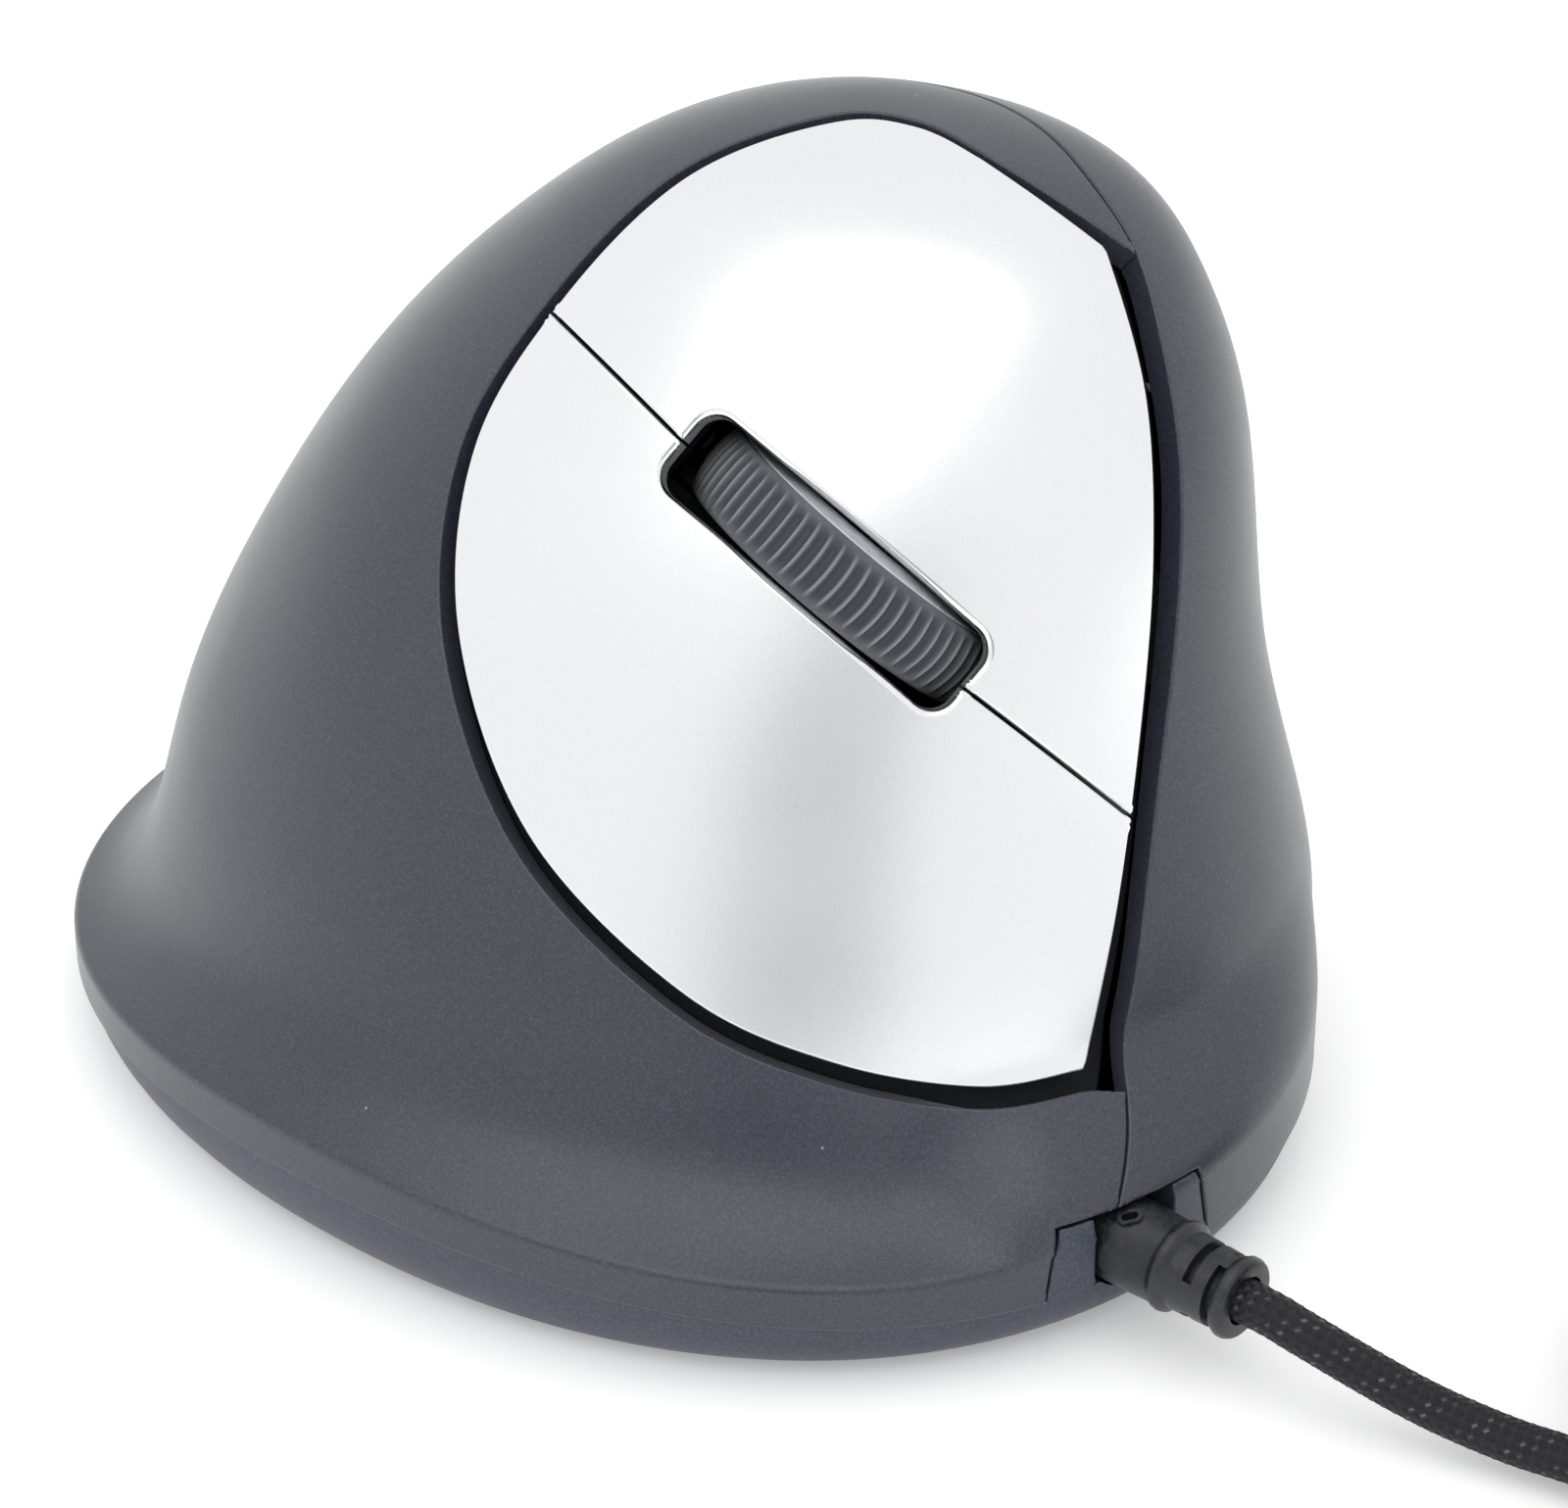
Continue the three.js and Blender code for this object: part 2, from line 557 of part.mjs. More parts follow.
function wheelYoke() {
  const arm = new THREE.Shape();
  const [u, n] = YOKE_PIVOT;
  arm.moveTo(-17.6, -2.4);
  arm.lineTo(6, -2.6);
  arm.lineTo(u, n - 2);
  arm.absarc(u, n, 2, -Math.PI / 2, Math.PI / 2);
  arm.lineTo(6, 2.4);
  arm.lineTo(-17.6, 2.4);
  const slab = (from, to) => toSolid(extrude(arm, from, to).rotateX(Math.PI / 2));
  let yoke = slab(3.7, 5).add(slab(-5, -3.7));
  yoke = yoke.add(box([2, 9, 4.8], [-16.6, 0, 0])).add(box([2.6, 9, 3.2], [u + 0.4, 0, n]));
  yoke = yoke.add(bar('y', 1.1, -8, 8, YOKE_PIVOT, 12));
  yoke = yoke.subtract(bar('y', AXLE_RADIUS + GAP, -9, 9, [0, 0], 14));
  return named('wheel_yoke', yoke, black);
}

function yokeBracket() {
  const [u, n] = YOKE_PIVOT;
  const cheek = box([5, 1.6, 6.6], [u, 6.4, n - 1.3]);
  const other = box([5, 1.6, 6.6], [u, -6.4, n - 1.3]);
  const bridge = box([5, 14.4, 1.4], [u, 0, n - 3.9]);
  const pin = bar('y', 1.1 + GAP, -12, 12, YOKE_PIVOT, 12);
  return named('yoke_bracket', cheek.add(other).add(bridge).subtract(pin), greyPlastic);
}

function scrollEncoder() {
  const body = box([10, 3.2, 9], [0, 7.1, 0]);
  return named('scroll_encoder', body.subtract(bar('y', AXLE_RADIUS + GAP, 3, 12, [0, 0], 14)), greyPlastic);
}

function wheelSwitch() {
  const body = box([6, 6, 3.4], [-16.6, 0, -7.4]);
  return named('wheel_switch', body.subtract(bar('z', 1.7, -8, 0, [-16.6, 0], 14)), black);
}

function wheelSwitchPlunger() {
  return named('wheel_switch_plunger', bar('z', 1.4, -7.2, -2.4 - GAP, [-16.6, 0], 14), amber);
}

function wheelGroup() {
  const group = new THREE.Group();
  group.position.set(...WHEEL_CENTRE);
  group.rotation.x = WHEEL_LEAN;
  group.add(wheelTyre(), wheelHub(), wheelYoke(), yokeBracket());
  group.add(scrollEncoder(), wheelSwitch(), wheelSwitchPlunger());
  return group;
}

function fingerBoard() {
  const outline = roundedRectangle(50, 38, 2, 0.5, -1);
  const middle = FINGER_BOARD_TOP - BOARD_THICK;
  let sheet = toSolid(extrude(outline, middle, FINGER_BOARD_TOP));
  const wheelRoom = new THREE.Group();
  wheelRoom.position.set(...WHEEL_CENTRE);
  wheelRoom.rotation.x = WHEEL_LEAN;
  wheelRoom.updateMatrix();
  sheet = sheet.subtract(place(box([30.5, 7.6, 30], [0, 0, 0]), wheelRoom.matrix));
  return named('finger_board', sheet, board);
}

function microSwitch(name, across) {
  const bottom = FINGER_BOARD_TOP + GAP;
  const body = box(SWITCH_SIZE, [SWITCH_U, across, bottom + SWITCH_SIZE[2] / 2]);
  const well = bar('z', 1.4, bottom + SWITCH_SIZE[2] - 3, 0, [SWITCH_U, across], 12);
  return named(name, body.subtract(well), black);
}

function microPlunger(name, across) {
  const top = BOSS_TIP - GAP;
  return named(name, bar('z', 1, top - 1.9, top, [SWITCH_U, across], 12), amber);
}

function plateGroup() {
  const group = new THREE.Group();
  group.applyMatrix4(plateFrame);
  group.add(wheelGroup(), fingerBoard());
  group.add(microSwitch('upper_switch', SWITCH_W), microPlunger('upper_plunger', SWITCH_W));
  group.add(microSwitch('lower_switch', -SWITCH_W), microPlunger('lower_plunger', -SWITCH_W));
  return group;
}

// ---------------------------------------------------------------- thumb buttons

function thumbButton(name) {
  const span = THUMB_SPANS[name];
  const shell = hump(-0.7, 0).subtract(hump(COVER_WALL, 9));
  let button = shell.intersect(prismAlongX(thumbShape(span, 0), -60, -30));
  const middle = (span[0] + span[1]) / 2;
  const boss = bar('x', 2, -60, THUMB_BOARD_X - 5.5, [middle, THUMB_HEIGHT], 14);
  button = button.add(boss.intersect(hump(0.8, 0)));
  return named(name, button, silver);
}

function thumbSwitch(name, y) {
  const body = box([3.6, 6, 6], [THUMB_BOARD_X - GAP - 1.8, y, THUMB_HEIGHT]);
  return named(name, body.subtract(bar('x', 1.7, -40, THUMB_BOARD_X - 2.2, [y, THUMB_HEIGHT], 14)), black);
}

function thumbPlunger(name, y) {
  return named(name, bar('x', 1.4, THUMB_BOARD_X - 5.2, THUMB_BOARD_X - 3, [y, THUMB_HEIGHT], 14), amber);
}

function thumbBoard() {
  const sheet = box([BOARD_THICK, 36, 18], [THUMB_BOARD_X + BOARD_THICK / 2, 2, 54]);
  return named('thumb_board', sheet, board);
}

// ---------------------------------------------------------------- inside the base

function mainBoard() {
  const width = MAIN_BOARD.x[1] - MAIN_BOARD.x[0];
  const length = MAIN_BOARD.y[1] - MAIN_BOARD.y[0];
  const middleX = (MAIN_BOARD.x[0] + MAIN_BOARD.x[1]) / 2;
  const middleY = (MAIN_BOARD.y[0] + MAIN_BOARD.y[1]) / 2;
  const outline = roundedRectangle(width, length, 3, middleX, middleY);
  const sheet = toSolid(extrude(outline, MAIN_BOARD.z, MAIN_BOARD.z + BOARD_THICK));
  return named('main_board', sheet.subtract(box([6, 6, 20], [0, 0, 8])), board);
}

function sensorLens() {
  const plate = box([18, 14, 1.6], [0, 0, 5.2]);
  const window = box([13.8, 8.8, 4.4], [0, 0, 3.2]);
  return named('sensor_lens', plate.add(window).subtract(bar('z', 2.2, 5.2, 8, [0, 0], 14)), clear);
}

function sensorChip() {
  return named('sensor_chip', box([10, 12, 2.6], [0, 0, MAIN_BOARD.z + BOARD_THICK + GAP + 1.3]), black);
}

function controllerChip() {
  return named('controller_chip', box([9, 9, 1.2], [-8, -18, MAIN_BOARD.z + BOARD_THICK + GAP + 0.6]), black);
}

function leadSocket() {
  return named('lead_socket', box([12, 6, 5], [PORT_X, 19, MAIN_BOARD.z + BOARD_THICK + GAP + 2.5]), whitePlastic);
}

function ribbonSocket() {
  return named('ribbon_socket', box([3, 12, 3], [12, 0, MAIN_BOARD.z + BOARD_THICK + GAP + 1.5]), whitePlastic);
}

// The flat ribbon that joins the two boards, an even strip bent in the x and z plane.
function ribbon() {
  const middle = new THREE.SplineCurve(points([[12, 11.8], [12.2, 17], [10, 24], [5.5, 30], [3.2, 33.4]]));
  const half = 0.25;
  const left = [];
  const right = [];
  for (let i = 0; i <= 12; i++) {
    const p = middle.getPoint(i / 12);
    const along = middle.getTangent(i / 12);
    left.push(new THREE.Vector2(p.x - along.y * half, p.y + along.x * half));
    right.unshift(new THREE.Vector2(p.x + along.y * half, p.y - along.x * half));
  }
  return named('ribbon', prismAlongY(new THREE.Shape(left.concat(right)), -5, 5), whitePlastic);
}

function screw(name, spot) {
  const profile = [[0, 1.9], [0.9, 1.7], [0.9, 1.1], [2.1, 1.1], [2.1, 2], [1.8, 2.6],
    [1.1, 2.6], [1.1, 12.6], [0, 13.6]];
  const shape = new THREE.LatheGeometry(points(profile), 16).rotateX(Math.PI / 2).translate(spot[0], spot[1], 0);
  return named(name, toSolid(shape), steel);
}

// ---------------------------------------------------------------- lead

function circle(radius, segments) {
  const shape = new THREE.Shape();
  for (let i = 0; i < segments; i++) {
    const angle = (i / segments) * 2 * Math.PI;
    if (i === 0) shape.moveTo(radius, 0);
    else shape.lineTo(radius * Math.cos(angle), radius * Math.sin(angle));
  }
  return shape;
}

function tube(route, steps) {
  const path = new THREE.CatmullRomCurve3(route.map((p) => new THREE.Vector3(...p)));
  const settings = { steps, extrudePath: path, bevelEnabled: false };
  return new THREE.ExtrudeGeometry(circle(LEAD_DIAMETER / 2, 8), settings);
}

// The moulded strain relief: a collar in the port, then a stepped flexible neck.
function strainRelief() {
  const profile = [[0, 0], [3.4, 0], [3.4, 2.6], [4.6, 2.6], [4.6, 4.6], [3.7, 4.6], [3.7, 15.8], [3.3, 16.6],
    [3.3, 18.6], [2.7, 18.6], [2.7, 19.6], [3.1, 19.6], [3.1, 21], [2.6, 21], [2.6, 22],
    [2.9, 22], [2.9, 24], [0, 24]];
  const shape = new THREE.LatheGeometry(points(profile), 16);
  const from = new THREE.Vector3(3.6, 42, LEAD_HEIGHT);
  const towards = new THREE.Vector3(-0.05, 1, -0.01).normalize();
  const turn = new THREE.Quaternion().setFromUnitVectors(new THREE.Vector3(0, 1, 0), towards);
  shape.applyQuaternion(turn).translate(from.x, from.y, from.z);
  return named('cable_strain_relief', toSolid(shape), slate);
}

function innerLead() {
  const route = [[3.6, 41.4, 8.6], [3.6, 38, 9.4], [3.4, 32, 10.8], [3.2, 26, 11.4], [3.2, 22.6, 11.4]];
  return named('cable_inner', tube(route, 10), braid);
}

function coil() {
  const [inner, outer, low, high] = [COIL_INNER, COIL_OUTER, COIL_BASE, COIL_TOP];
  const cut = 2;
  const profile = [[inner, low + cut], [inner + cut, low], [outer - cut, low], [outer, low + cut],
    [outer, high - cut], [outer - cut, high], [inner + cut, high], [inner, high - cut], [inner, low + cut]];
  const shape = new THREE.LatheGeometry(points(profile), 24).rotateX(Math.PI / 2);
  shape.translate(COIL_CENTRE[0], COIL_CENTRE[1], 0);
  return toSolid(shape);
}

// A fabric strap round the coil's section, on the side away from the mouse.
function coilTie() {
  const wide = COIL_OUTER - COIL_INNER + 4 * GAP;
  const tall = COIL_TOP - COIL_BASE + 2 * GAP;
  const middleX = COIL_CENTRE[0] - (COIL_OUTER + COIL_INNER) / 2 + GAP;
  const middleZ = (COIL_TOP + COIL_BASE) / 2;
  const outline = roundedRectangle(wide + 1.6, tall + 1.6, 1.5, middleX, middleZ);
  outline.holes.push(roundedRectangle(wide, tall, 0.8, middleX, middleZ));
  const strap = prismAlongY(outline, COIL_CENTRE[1] - 3, COIL_CENTRE[1] + 3);
  return named('coil_tie', strap, black);
}

// A standard type A plug, lying flat with its tip towards -X.
function plugHousing() {
  const neck = bar('x', 3, PLUG_X - 7, PLUG_X, [PLUG_Y, PLUG_Z], 16);
  const grip = roundedRectangle(16, 8, 2, PLUG_Y, PLUG_Z);
  const body = prismAlongX(grip, PLUG_X - 26, PLUG_X - 6);
  const hole = bar('x', LEAD_DIAMETER / 2 + GAP, PLUG_X - 3, PLUG_X + 1, [PLUG_Y, PLUG_Z], 12);
  return named('usb_plug_housing', body.add(neck).subtract(hole), black);
}

function plugShell() {
  const outline = roundedRectangle(12, 4.5, 0.4, PLUG_Y, PLUG_Z);
  outline.holes.push(roundedRectangle(11.3, 3.8, 0.2, PLUG_Y, PLUG_Z));
  const end = PLUG_X - 26 - GAP;
  return named('usb_plug_shell', prismAlongX(outline, end - 12, end), steel);
}

function plugTongue() {
  const end = PLUG_X - 26 - GAP;
  return named('usb_plug_tongue', box([11.2, 10.6, 1.5], [end - 5.6, PLUG_Y, PLUG_Z + 0.8]), whitePlastic);
}

// ---------------------------------------------------------------- the mouse

const mouse = new THREE.Group();
mouse.name = 'vertical_mouse';
mouse.position.set(-FOOTPRINT_CENTRE[0], -FOOTPRINT_CENTRE[1], 0);
mouse.add(basePlate(), fingerSideCover(), thumbSideCover(), portInsert());
mouse.add(named('upper_button', platePiece(true), silver));
mouse.add(named('lower_button', platePiece(false), silver));
mouse.add(buttonTray(), plateGroup());
for (const [name, span] of Object.entries(THUMB_SPANS)) {
  const middle = (span[0] + span[1]) / 2;
  mouse.add(thumbButton(name));
  mouse.add(thumbSwitch(name.replace('button', 'switch'), middle));
  mouse.add(thumbPlunger(name.replace('button', 'plunger'), middle));
}
mouse.add(thumbBoard(), mainBoard(), sensorLens(), sensorChip(), controllerChip());
mouse.add(leadSocket(), ribbonSocket(), ribbon());
mouse.add(...feet());
for (const [name, spot] of Object.entries(SCREW_SPOTS)) {
  mouse.add(screw(name, spot));
}
mouse.add(strainRelief(), innerLead());
mouse.add(named('cable_lead', tube(LEAD_ROUTE, 12), braid));
mouse.add(named('cable_coil', coil(), braid));
mouse.add(named('cable_tail', tube(TAIL_ROUTE, 12), braid));
mouse.add(coilTie(), plugHousing(), plugShell(), plugTongue());

export default mouse;
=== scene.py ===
# The looks of the vertical mouse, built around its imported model. Blender 4.5.
# Shapes are worked out in millimetres about the line under the crown, as in the part's own
# source, and moved by FOOTPRINT_SHIFT into the row frame, in metres, when a mesh is made.
import json
import math

import bmesh
import bpy
import numpy as np
from mathutils import Matrix, Vector
from mathutils.geometry import delaunay_2d_cdt
from mathutils.kdtree import KDTree


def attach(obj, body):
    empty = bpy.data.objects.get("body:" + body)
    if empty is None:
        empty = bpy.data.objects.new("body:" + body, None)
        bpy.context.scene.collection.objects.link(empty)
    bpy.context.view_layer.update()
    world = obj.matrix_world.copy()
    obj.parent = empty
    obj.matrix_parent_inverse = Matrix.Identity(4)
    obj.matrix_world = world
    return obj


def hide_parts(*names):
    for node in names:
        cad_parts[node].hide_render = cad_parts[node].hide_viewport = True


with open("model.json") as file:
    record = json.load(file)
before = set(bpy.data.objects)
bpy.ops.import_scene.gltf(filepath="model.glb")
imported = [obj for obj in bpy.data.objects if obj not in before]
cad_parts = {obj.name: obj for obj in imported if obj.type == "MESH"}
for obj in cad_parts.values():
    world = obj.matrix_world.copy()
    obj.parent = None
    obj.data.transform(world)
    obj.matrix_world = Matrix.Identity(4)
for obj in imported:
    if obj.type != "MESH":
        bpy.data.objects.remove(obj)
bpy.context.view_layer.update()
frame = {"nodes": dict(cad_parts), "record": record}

# ---------------------------------------------------------------- driving dimensions, millimetres

MM = 0.001
TAU = 2 * math.pi
FOOTPRINT_SHIFT = np.array([1.2, 3.2, 0.0])

CROWN = (-22.0, -2.0, 80.5)
RIB_RADIUS = np.array([
    [64, 67.5, 53.5, 27, 18.5, 32, 53.5, 73],
    [65.5, 62.5, 50.5, 30.5, 20, 32, 54.5, 68.5],
    [59, 56, 50.5, 34, 18.5, 29.5, 53, 64],
    [55, 52.5, 48.5, 32.5, 14, 26.5, 51, 62],
    [48.5, 45, 43, 29, 11.5, 24.5, 46.5, 54.5],
    [39.5, 37.5, 40, 31.5, 13, 23, 39.5, 45],
    [28, 29, 34.5, 30.5, 16, 20, 30, 32],
    [13.5, 17, 21.5, 22.5, 16.5, 14.5, 13.5, 14.5],
    [0, 0, 0, 0, 0, 0, 0, 0],
])
RIM_HEIGHT = np.array([15, 8.5, 13, 14.5, 7.5, 8, 7, 6.5])
RIM_FOOT = np.array([11, 5, 6.5, 8, 4.5, 4.5, 4, 3])
LEVEL_ABOVE_RIM = [0, 1, 3.5]
LEVEL_HEIGHT = [26, 40, 55, 68, 80.5, 80.5]
WALL_STARTS = np.radians([46, 60])
WALL_ENDS = np.radians([150, 180])
WALL_TOP = 0.28
RIM_ROUNDING = (0.012, 0.15)
BAND = 0.2

COVER_WALL = 2.2
SEAM_GAP = 0.16
BASE_UNDERSIDE = 0.7
BASE_FLOOR = 2.7
SEAM = [[9, -5], [6.3, 10], [-1.4, 19], [-9, 33], [-16, 46.5], [-21.5, 60],
        [-25.5, 70], [-28.5, 75], [-30.5, 77.7], [-34, 79.3], [-40, 81]]

PLATE_ORIGIN = np.array([4.0, 19.0, 58.0])
PLATE_NORMAL = np.array([0.61, 0.55, 0.57])
WHEEL_RUN = np.array([-0.252, 0.8145, -0.525])
PLATE_ROUND = [[-12, 33.5], [-18, 32.5], [-23.5, 28.5], [-29.5, 17], [-30.5, 2],
               [-28, -11], [-19, -23], [-4, -31.5], [13.5, -33], [26, -29.5], [36, -23.5], [41.6, -16.9]]
PLATE_EDGE = [[41.6, -16.9], [35, -5], [26.5, 8], [19, 18], [10.5, 27], [0.5, 34]]
PLATE_THICK = 1.5
BUTTON_SPLIT = [[-45, 3], [-15, 0.1], [15, -0.4], [50, 2]]
SPLIT_GAP = 0.3
SLOT_LENGTH = 29.6
SLOT_WIDTH = 7.6
SLOT_CORNER = 2.0
TRAY_DEPTH = 2.6

WHEEL_CENTRE = (1.2, 1.6, -10.2)
WHEEL_LEAN = math.radians(9)
WHEEL_RADIUS = 14.5
TREAD_HALF = 3.0
TREAD_RIBS = 68
RIB_DEPTH = 0.6
TREAD_EDGE_RADIUS = 13.9

THUMB_HEIGHT = 57.0
THUMB_TALL = 7.0
THUMB_PROUD = 0.7
THUMB_SPANS = {"thumb_button_front": (3.5, 18.5), "thumb_button_rear": (-13.5, 1.5)}

PORT_X = 3.2
PORT_TOP = 12.4
PORT_FLOOR = 3.0
PORT_SHOULDER = 10.0
PORT_HALF_SHOULDER = 7.75
PORT_HALF_TOP = 6.8
PORT_HALF_FLOOR = 8.6
PORT_HOLE = 7.8
LEAD_HEIGHT = 8.4
BOOT_START = np.array([3.6, 42.0, 8.4])
BOOT_RUN = np.array([-0.05, 1.0, -0.01])
BOOT_RECESS_LEAN = 20

SCREW_SPOTS = {"screw_finger_rear": (28, -28), "screw_finger_front": (31, 14),
               "screw_thumb_rear": (-34, -22), "screw_thumb_front": (-32.6, 24.3)}
FOOT_SPANS = {"foot_front": (22, 68), "foot_finger_rear": (286, 332), "foot_thumb": (150, 232)}
FOOT_INSET = (7.5, 12.5)
FOOT_THICK = 1.0
RIM_STEPS = 300

LEAD_DIAMETER = 3.7
BRAID_YARNS = 12
BRAID_PITCH = 3.6
LEAD_START = [2.65, 61.9, 8.24]
LEAD_ROUTE = [[2.4, 66.3, 8.2], [2.2, 68.5, 7.9], [1.6, 71, 7.2], [0.6, 74, 6.1],
              [-0.7, 77.5, 4.8], [-2, 81, 3.8], [-3.6, 86, 3.1], [-5.2, 91.4, 3]]
COIL_CENTRE = (-30.4, 106.0)
COIL_RADII = (24.2, 20.4, 16.6)
COIL_FLOOR = 2.85
COIL_RISE = 3.72
COIL_LAYERS = 4
TURN_STEPS = 32
TAIL_ROUTE = [[-5.6, 120.6, 13.4], [-5.4, 124, 12], [-5.6, 127.5, 10.2], [-6.4, 131, 8.4],
              [-7.8, 134.6, 6.8], [-10.2, 138, 5.5], [-13.2, 140.6, 4.8], [-16.6, 142.2, 4.5],
              [-20.4, 143, 4.5], [-24, 143, 4.5]]
PLUG = np.array([-21.3, 143.0, 4.5])

CAMERA_TARGET = Vector((-0.00424, 0.00869, 0.02981))
CAMERA_AZIMUTH = math.radians(45.83)
CAMERA_HEIGHT = math.radians(32.6)
CAMERA_ROLL = math.radians(-0.16)
CAMERA_DISTANCE = 0.446
CAMERA_LENS = 122.2

TENT_LIGHT = 0.95
TENT_SHADES = [(48, 14, 7, 22, 0.45), (36, 50, 4, 16, 0.9)]
KEY_LIGHT = 0.7
KEY_FROM = (0.3, 0.1, 1.0)
KEY_SPREAD = math.radians(60)
FLOOR_HALF = 3.0
PLASTIC_GRAIN = 0.24


# ---------------------------------------------------------------- curves

def unit(v):
    v = np.asarray(v, float)
    return v / np.linalg.norm(v, axis=-1, keepdims=True)


def through(points, spacing):
    """A smooth line through points, with steps of about that spacing."""
    p = np.asarray(points, float)
    p = np.vstack([p[:1], p, p[-1:]])
    line = []
    for a, b, c, d in zip(p[:-3], p[1:-2], p[2:-1], p[3:]):
        steps = max(2, int(np.linalg.norm(c - b) / spacing) + 1)
        for t in np.arange(steps) / steps:
            line.append(0.5 * (2 * b + (c - a) * t + (2 * a - 5 * b + 4 * c - d) * t**2
                               + (3 * b - a - 3 * c + d) * t**3))
    line.append(p[-1])
    return np.array(line)


def straight(points, spacing, closed=False):
    """Straight runs between points, with steps of about that spacing."""
    p = [np.asarray(x, float) for x in points]
    if closed:
        p.append(p[0])
    line = []
    for a, b in zip(p[:-1], p[1:]):
        steps = max(1, int(round(np.linalg.norm(b - a) / spacing)))
        line += [a + (b - a) * i / steps for i in range(steps)]
    line.append(p[-1])
    return np.array(line)


def rounded_rectangle(length, width, corner, middle=(0, 0), spacing=0.7):
    """A closed outline, its first point repeated at the end."""
    outline = []
    steps = max(4, int(corner * 1.57 / spacing * 2))
    for quarter, (sx, sy) in enumerate([(1, 1), (-1, 1), (-1, -1), (1, -1)]):
        for i in range(steps + 1):
            turn = (quarter + i / steps) * math.pi / 2
            outline.append([middle[0] + sx * (length / 2 - corner) + corner * math.cos(turn),
                            middle[1] + sy * (width / 2 - corner) + corner * math.sin(turn)])
    return straight(outline, spacing, closed=True)


def inside(points, outline):
    """Which of the flat points lie inside a closed outline."""
    x, y = points[:, 0], points[:, 1]
    found = np.zeros(len(points), bool)
    for (ax, ay), (bx, by) in zip(outline, np.roll(outline, -1, axis=0)):
        if ay == by:
            continue
        crosses = ((ay > y) != (by > y)) & (x < (bx - ax) * (y - ay) / (by - ay) + ax)
        found ^= crosses
    return found


# ---------------------------------------------------------------- the hump

def around_ribs(values, angle):
    place = (angle / TAU * 8) % 8
    rib = np.floor(place).astype(int) % 8
    t = place - np.floor(place)
    weights = [(1 - t)**3, 3 * t**3 - 6 * t**2 + 4, -3 * t**3 + 3 * t**2 + 3 * t + 1, t**3]
    return sum(w / 6 * values[(rib + 7 + i) % 8] for i, w in enumerate(weights))


def up_levels(levels, t):
    levels = np.array(levels)
    spans = len(levels) - 3
    place = t * spans
    span = np.minimum(np.floor(place).astype(int), spans - 1)
    column = np.arange(len(t))
    near = [levels[span + i, column] for i in range(4)]
    for rounds in (1, 2, 3):
        for i in range(3, rounds - 1, -1):
            low = np.clip(i + span - 3, 0, spans)
            high = np.clip(i + 1 - rounds + span, 0, spans)
            share = (place - low) / (high - low)
            near[i] = (1 - share) * near[i - 1] + share * near[i]
    return near[3]


def smooth_step(value, low, high):
    share = np.clip((value - low) / (high - low), 0, 1)
    return share * share * (3 - 2 * share)


def rib_surface(angle, t):
    """Radius and height of the ribs' own surface."""
    rim = around_ribs(RIM_HEIGHT, angle)
    heights = [rim + rise for rise in LEVEL_ABOVE_RIM] + [np.full(len(angle), h) for h in LEVEL_HEIGHT]
    return up_levels([around_ribs(row, angle) for row in RIB_RADIUS], t), up_levels(heights, t)


def wall_radius(angle, height):
    """Radius at a height of a wall that leaves the rim upright and joins the ribs smoothly."""
    rim_radius, rim_height = rib_surface(angle, np.zeros(len(angle)))
    top_radius, top_height = rib_surface(angle, np.full(len(angle), WALL_TOP))
    next_radius, next_height = rib_surface(angle, np.full(len(angle), WALL_TOP + 0.001))
    rise = top_height - rim_height
    slope = (next_radius - top_radius) / (next_height - top_height) * rise
    h = (height - rim_height) / rise
    return rim_radius * (1 - h)**2 * (1 + 2 * h) + top_radius * h * h * (3 - 2 * h) + slope * h * h * (h - 1)


def front_share(angle):
    """1 round the front, where the wall stands straight up from the rim, and 0 elsewhere."""
    return smooth_step(angle, *WALL_STARTS) * (1 - smooth_step(angle, *WALL_ENDS))


def sharp_surface(angle, out):
    """Points of the hump and of the band under its rim, before the rim's edge is rounded."""
    t = np.clip(1 - out, 0, 1)
    radius, z = rib_surface(angle, t)
    share = front_share(angle)
    low = (t < WALL_TOP) & (share > 0)
    if low.any():
        fill = np.maximum(0, wall_radius(angle[low], z[low]) - radius[low])
        radius[low] += share[low] * fill
    drop = around_ribs(RIM_HEIGHT, angle) - around_ribs(RIM_FOOT, angle)
    z = z - np.maximum(out - 1, 0) / BAND * drop
    return np.stack([CROWN[0] + radius * np.cos(angle), CROWN[1] + radius * np.sin(angle), z], 1)


def surface(q):
    """Points of the hump from places in its unwrapped plane: the crown in the middle, the rim
    at distance 1, and the upright band under the rim from there to 1 + BAND. The rim's edge is
    rounded by a bend between a line a little way above it and a line a little way below."""
    angle = np.arctan2(q[:, 1], q[:, 0])
    out = np.hypot(q[:, 0], q[:, 1])
    points = sharp_surface(angle, out)
    above, below = 1 - RIM_ROUNDING[0], 1 + BAND * RIM_ROUNDING[1]
    near = (out > above) & (out < below)
    if near.any():
        bend = ((out[near] - above) / (below - above))[:, None]
        ends = [np.full(near.sum(), at) for at in (above, 1.0, below)]
        start, corner, end = [sharp_surface(angle[near], at) for at in ends]
        points[near] = (1 - bend)**2 * start + 2 * bend * (1 - bend) * corner + bend**2 * end
    return points


def surface_normal(q):
    step = 2e-4
    dx = surface(q + [step, 0]) - surface(q - [step, 0])
    dy = surface(q + [0, step]) - surface(q - [0, step])
    return unit(np.cross(dx, dy))


def polar(angle, out):
    return np.stack([out * np.cos(angle), out * np.sin(angle)], 1)


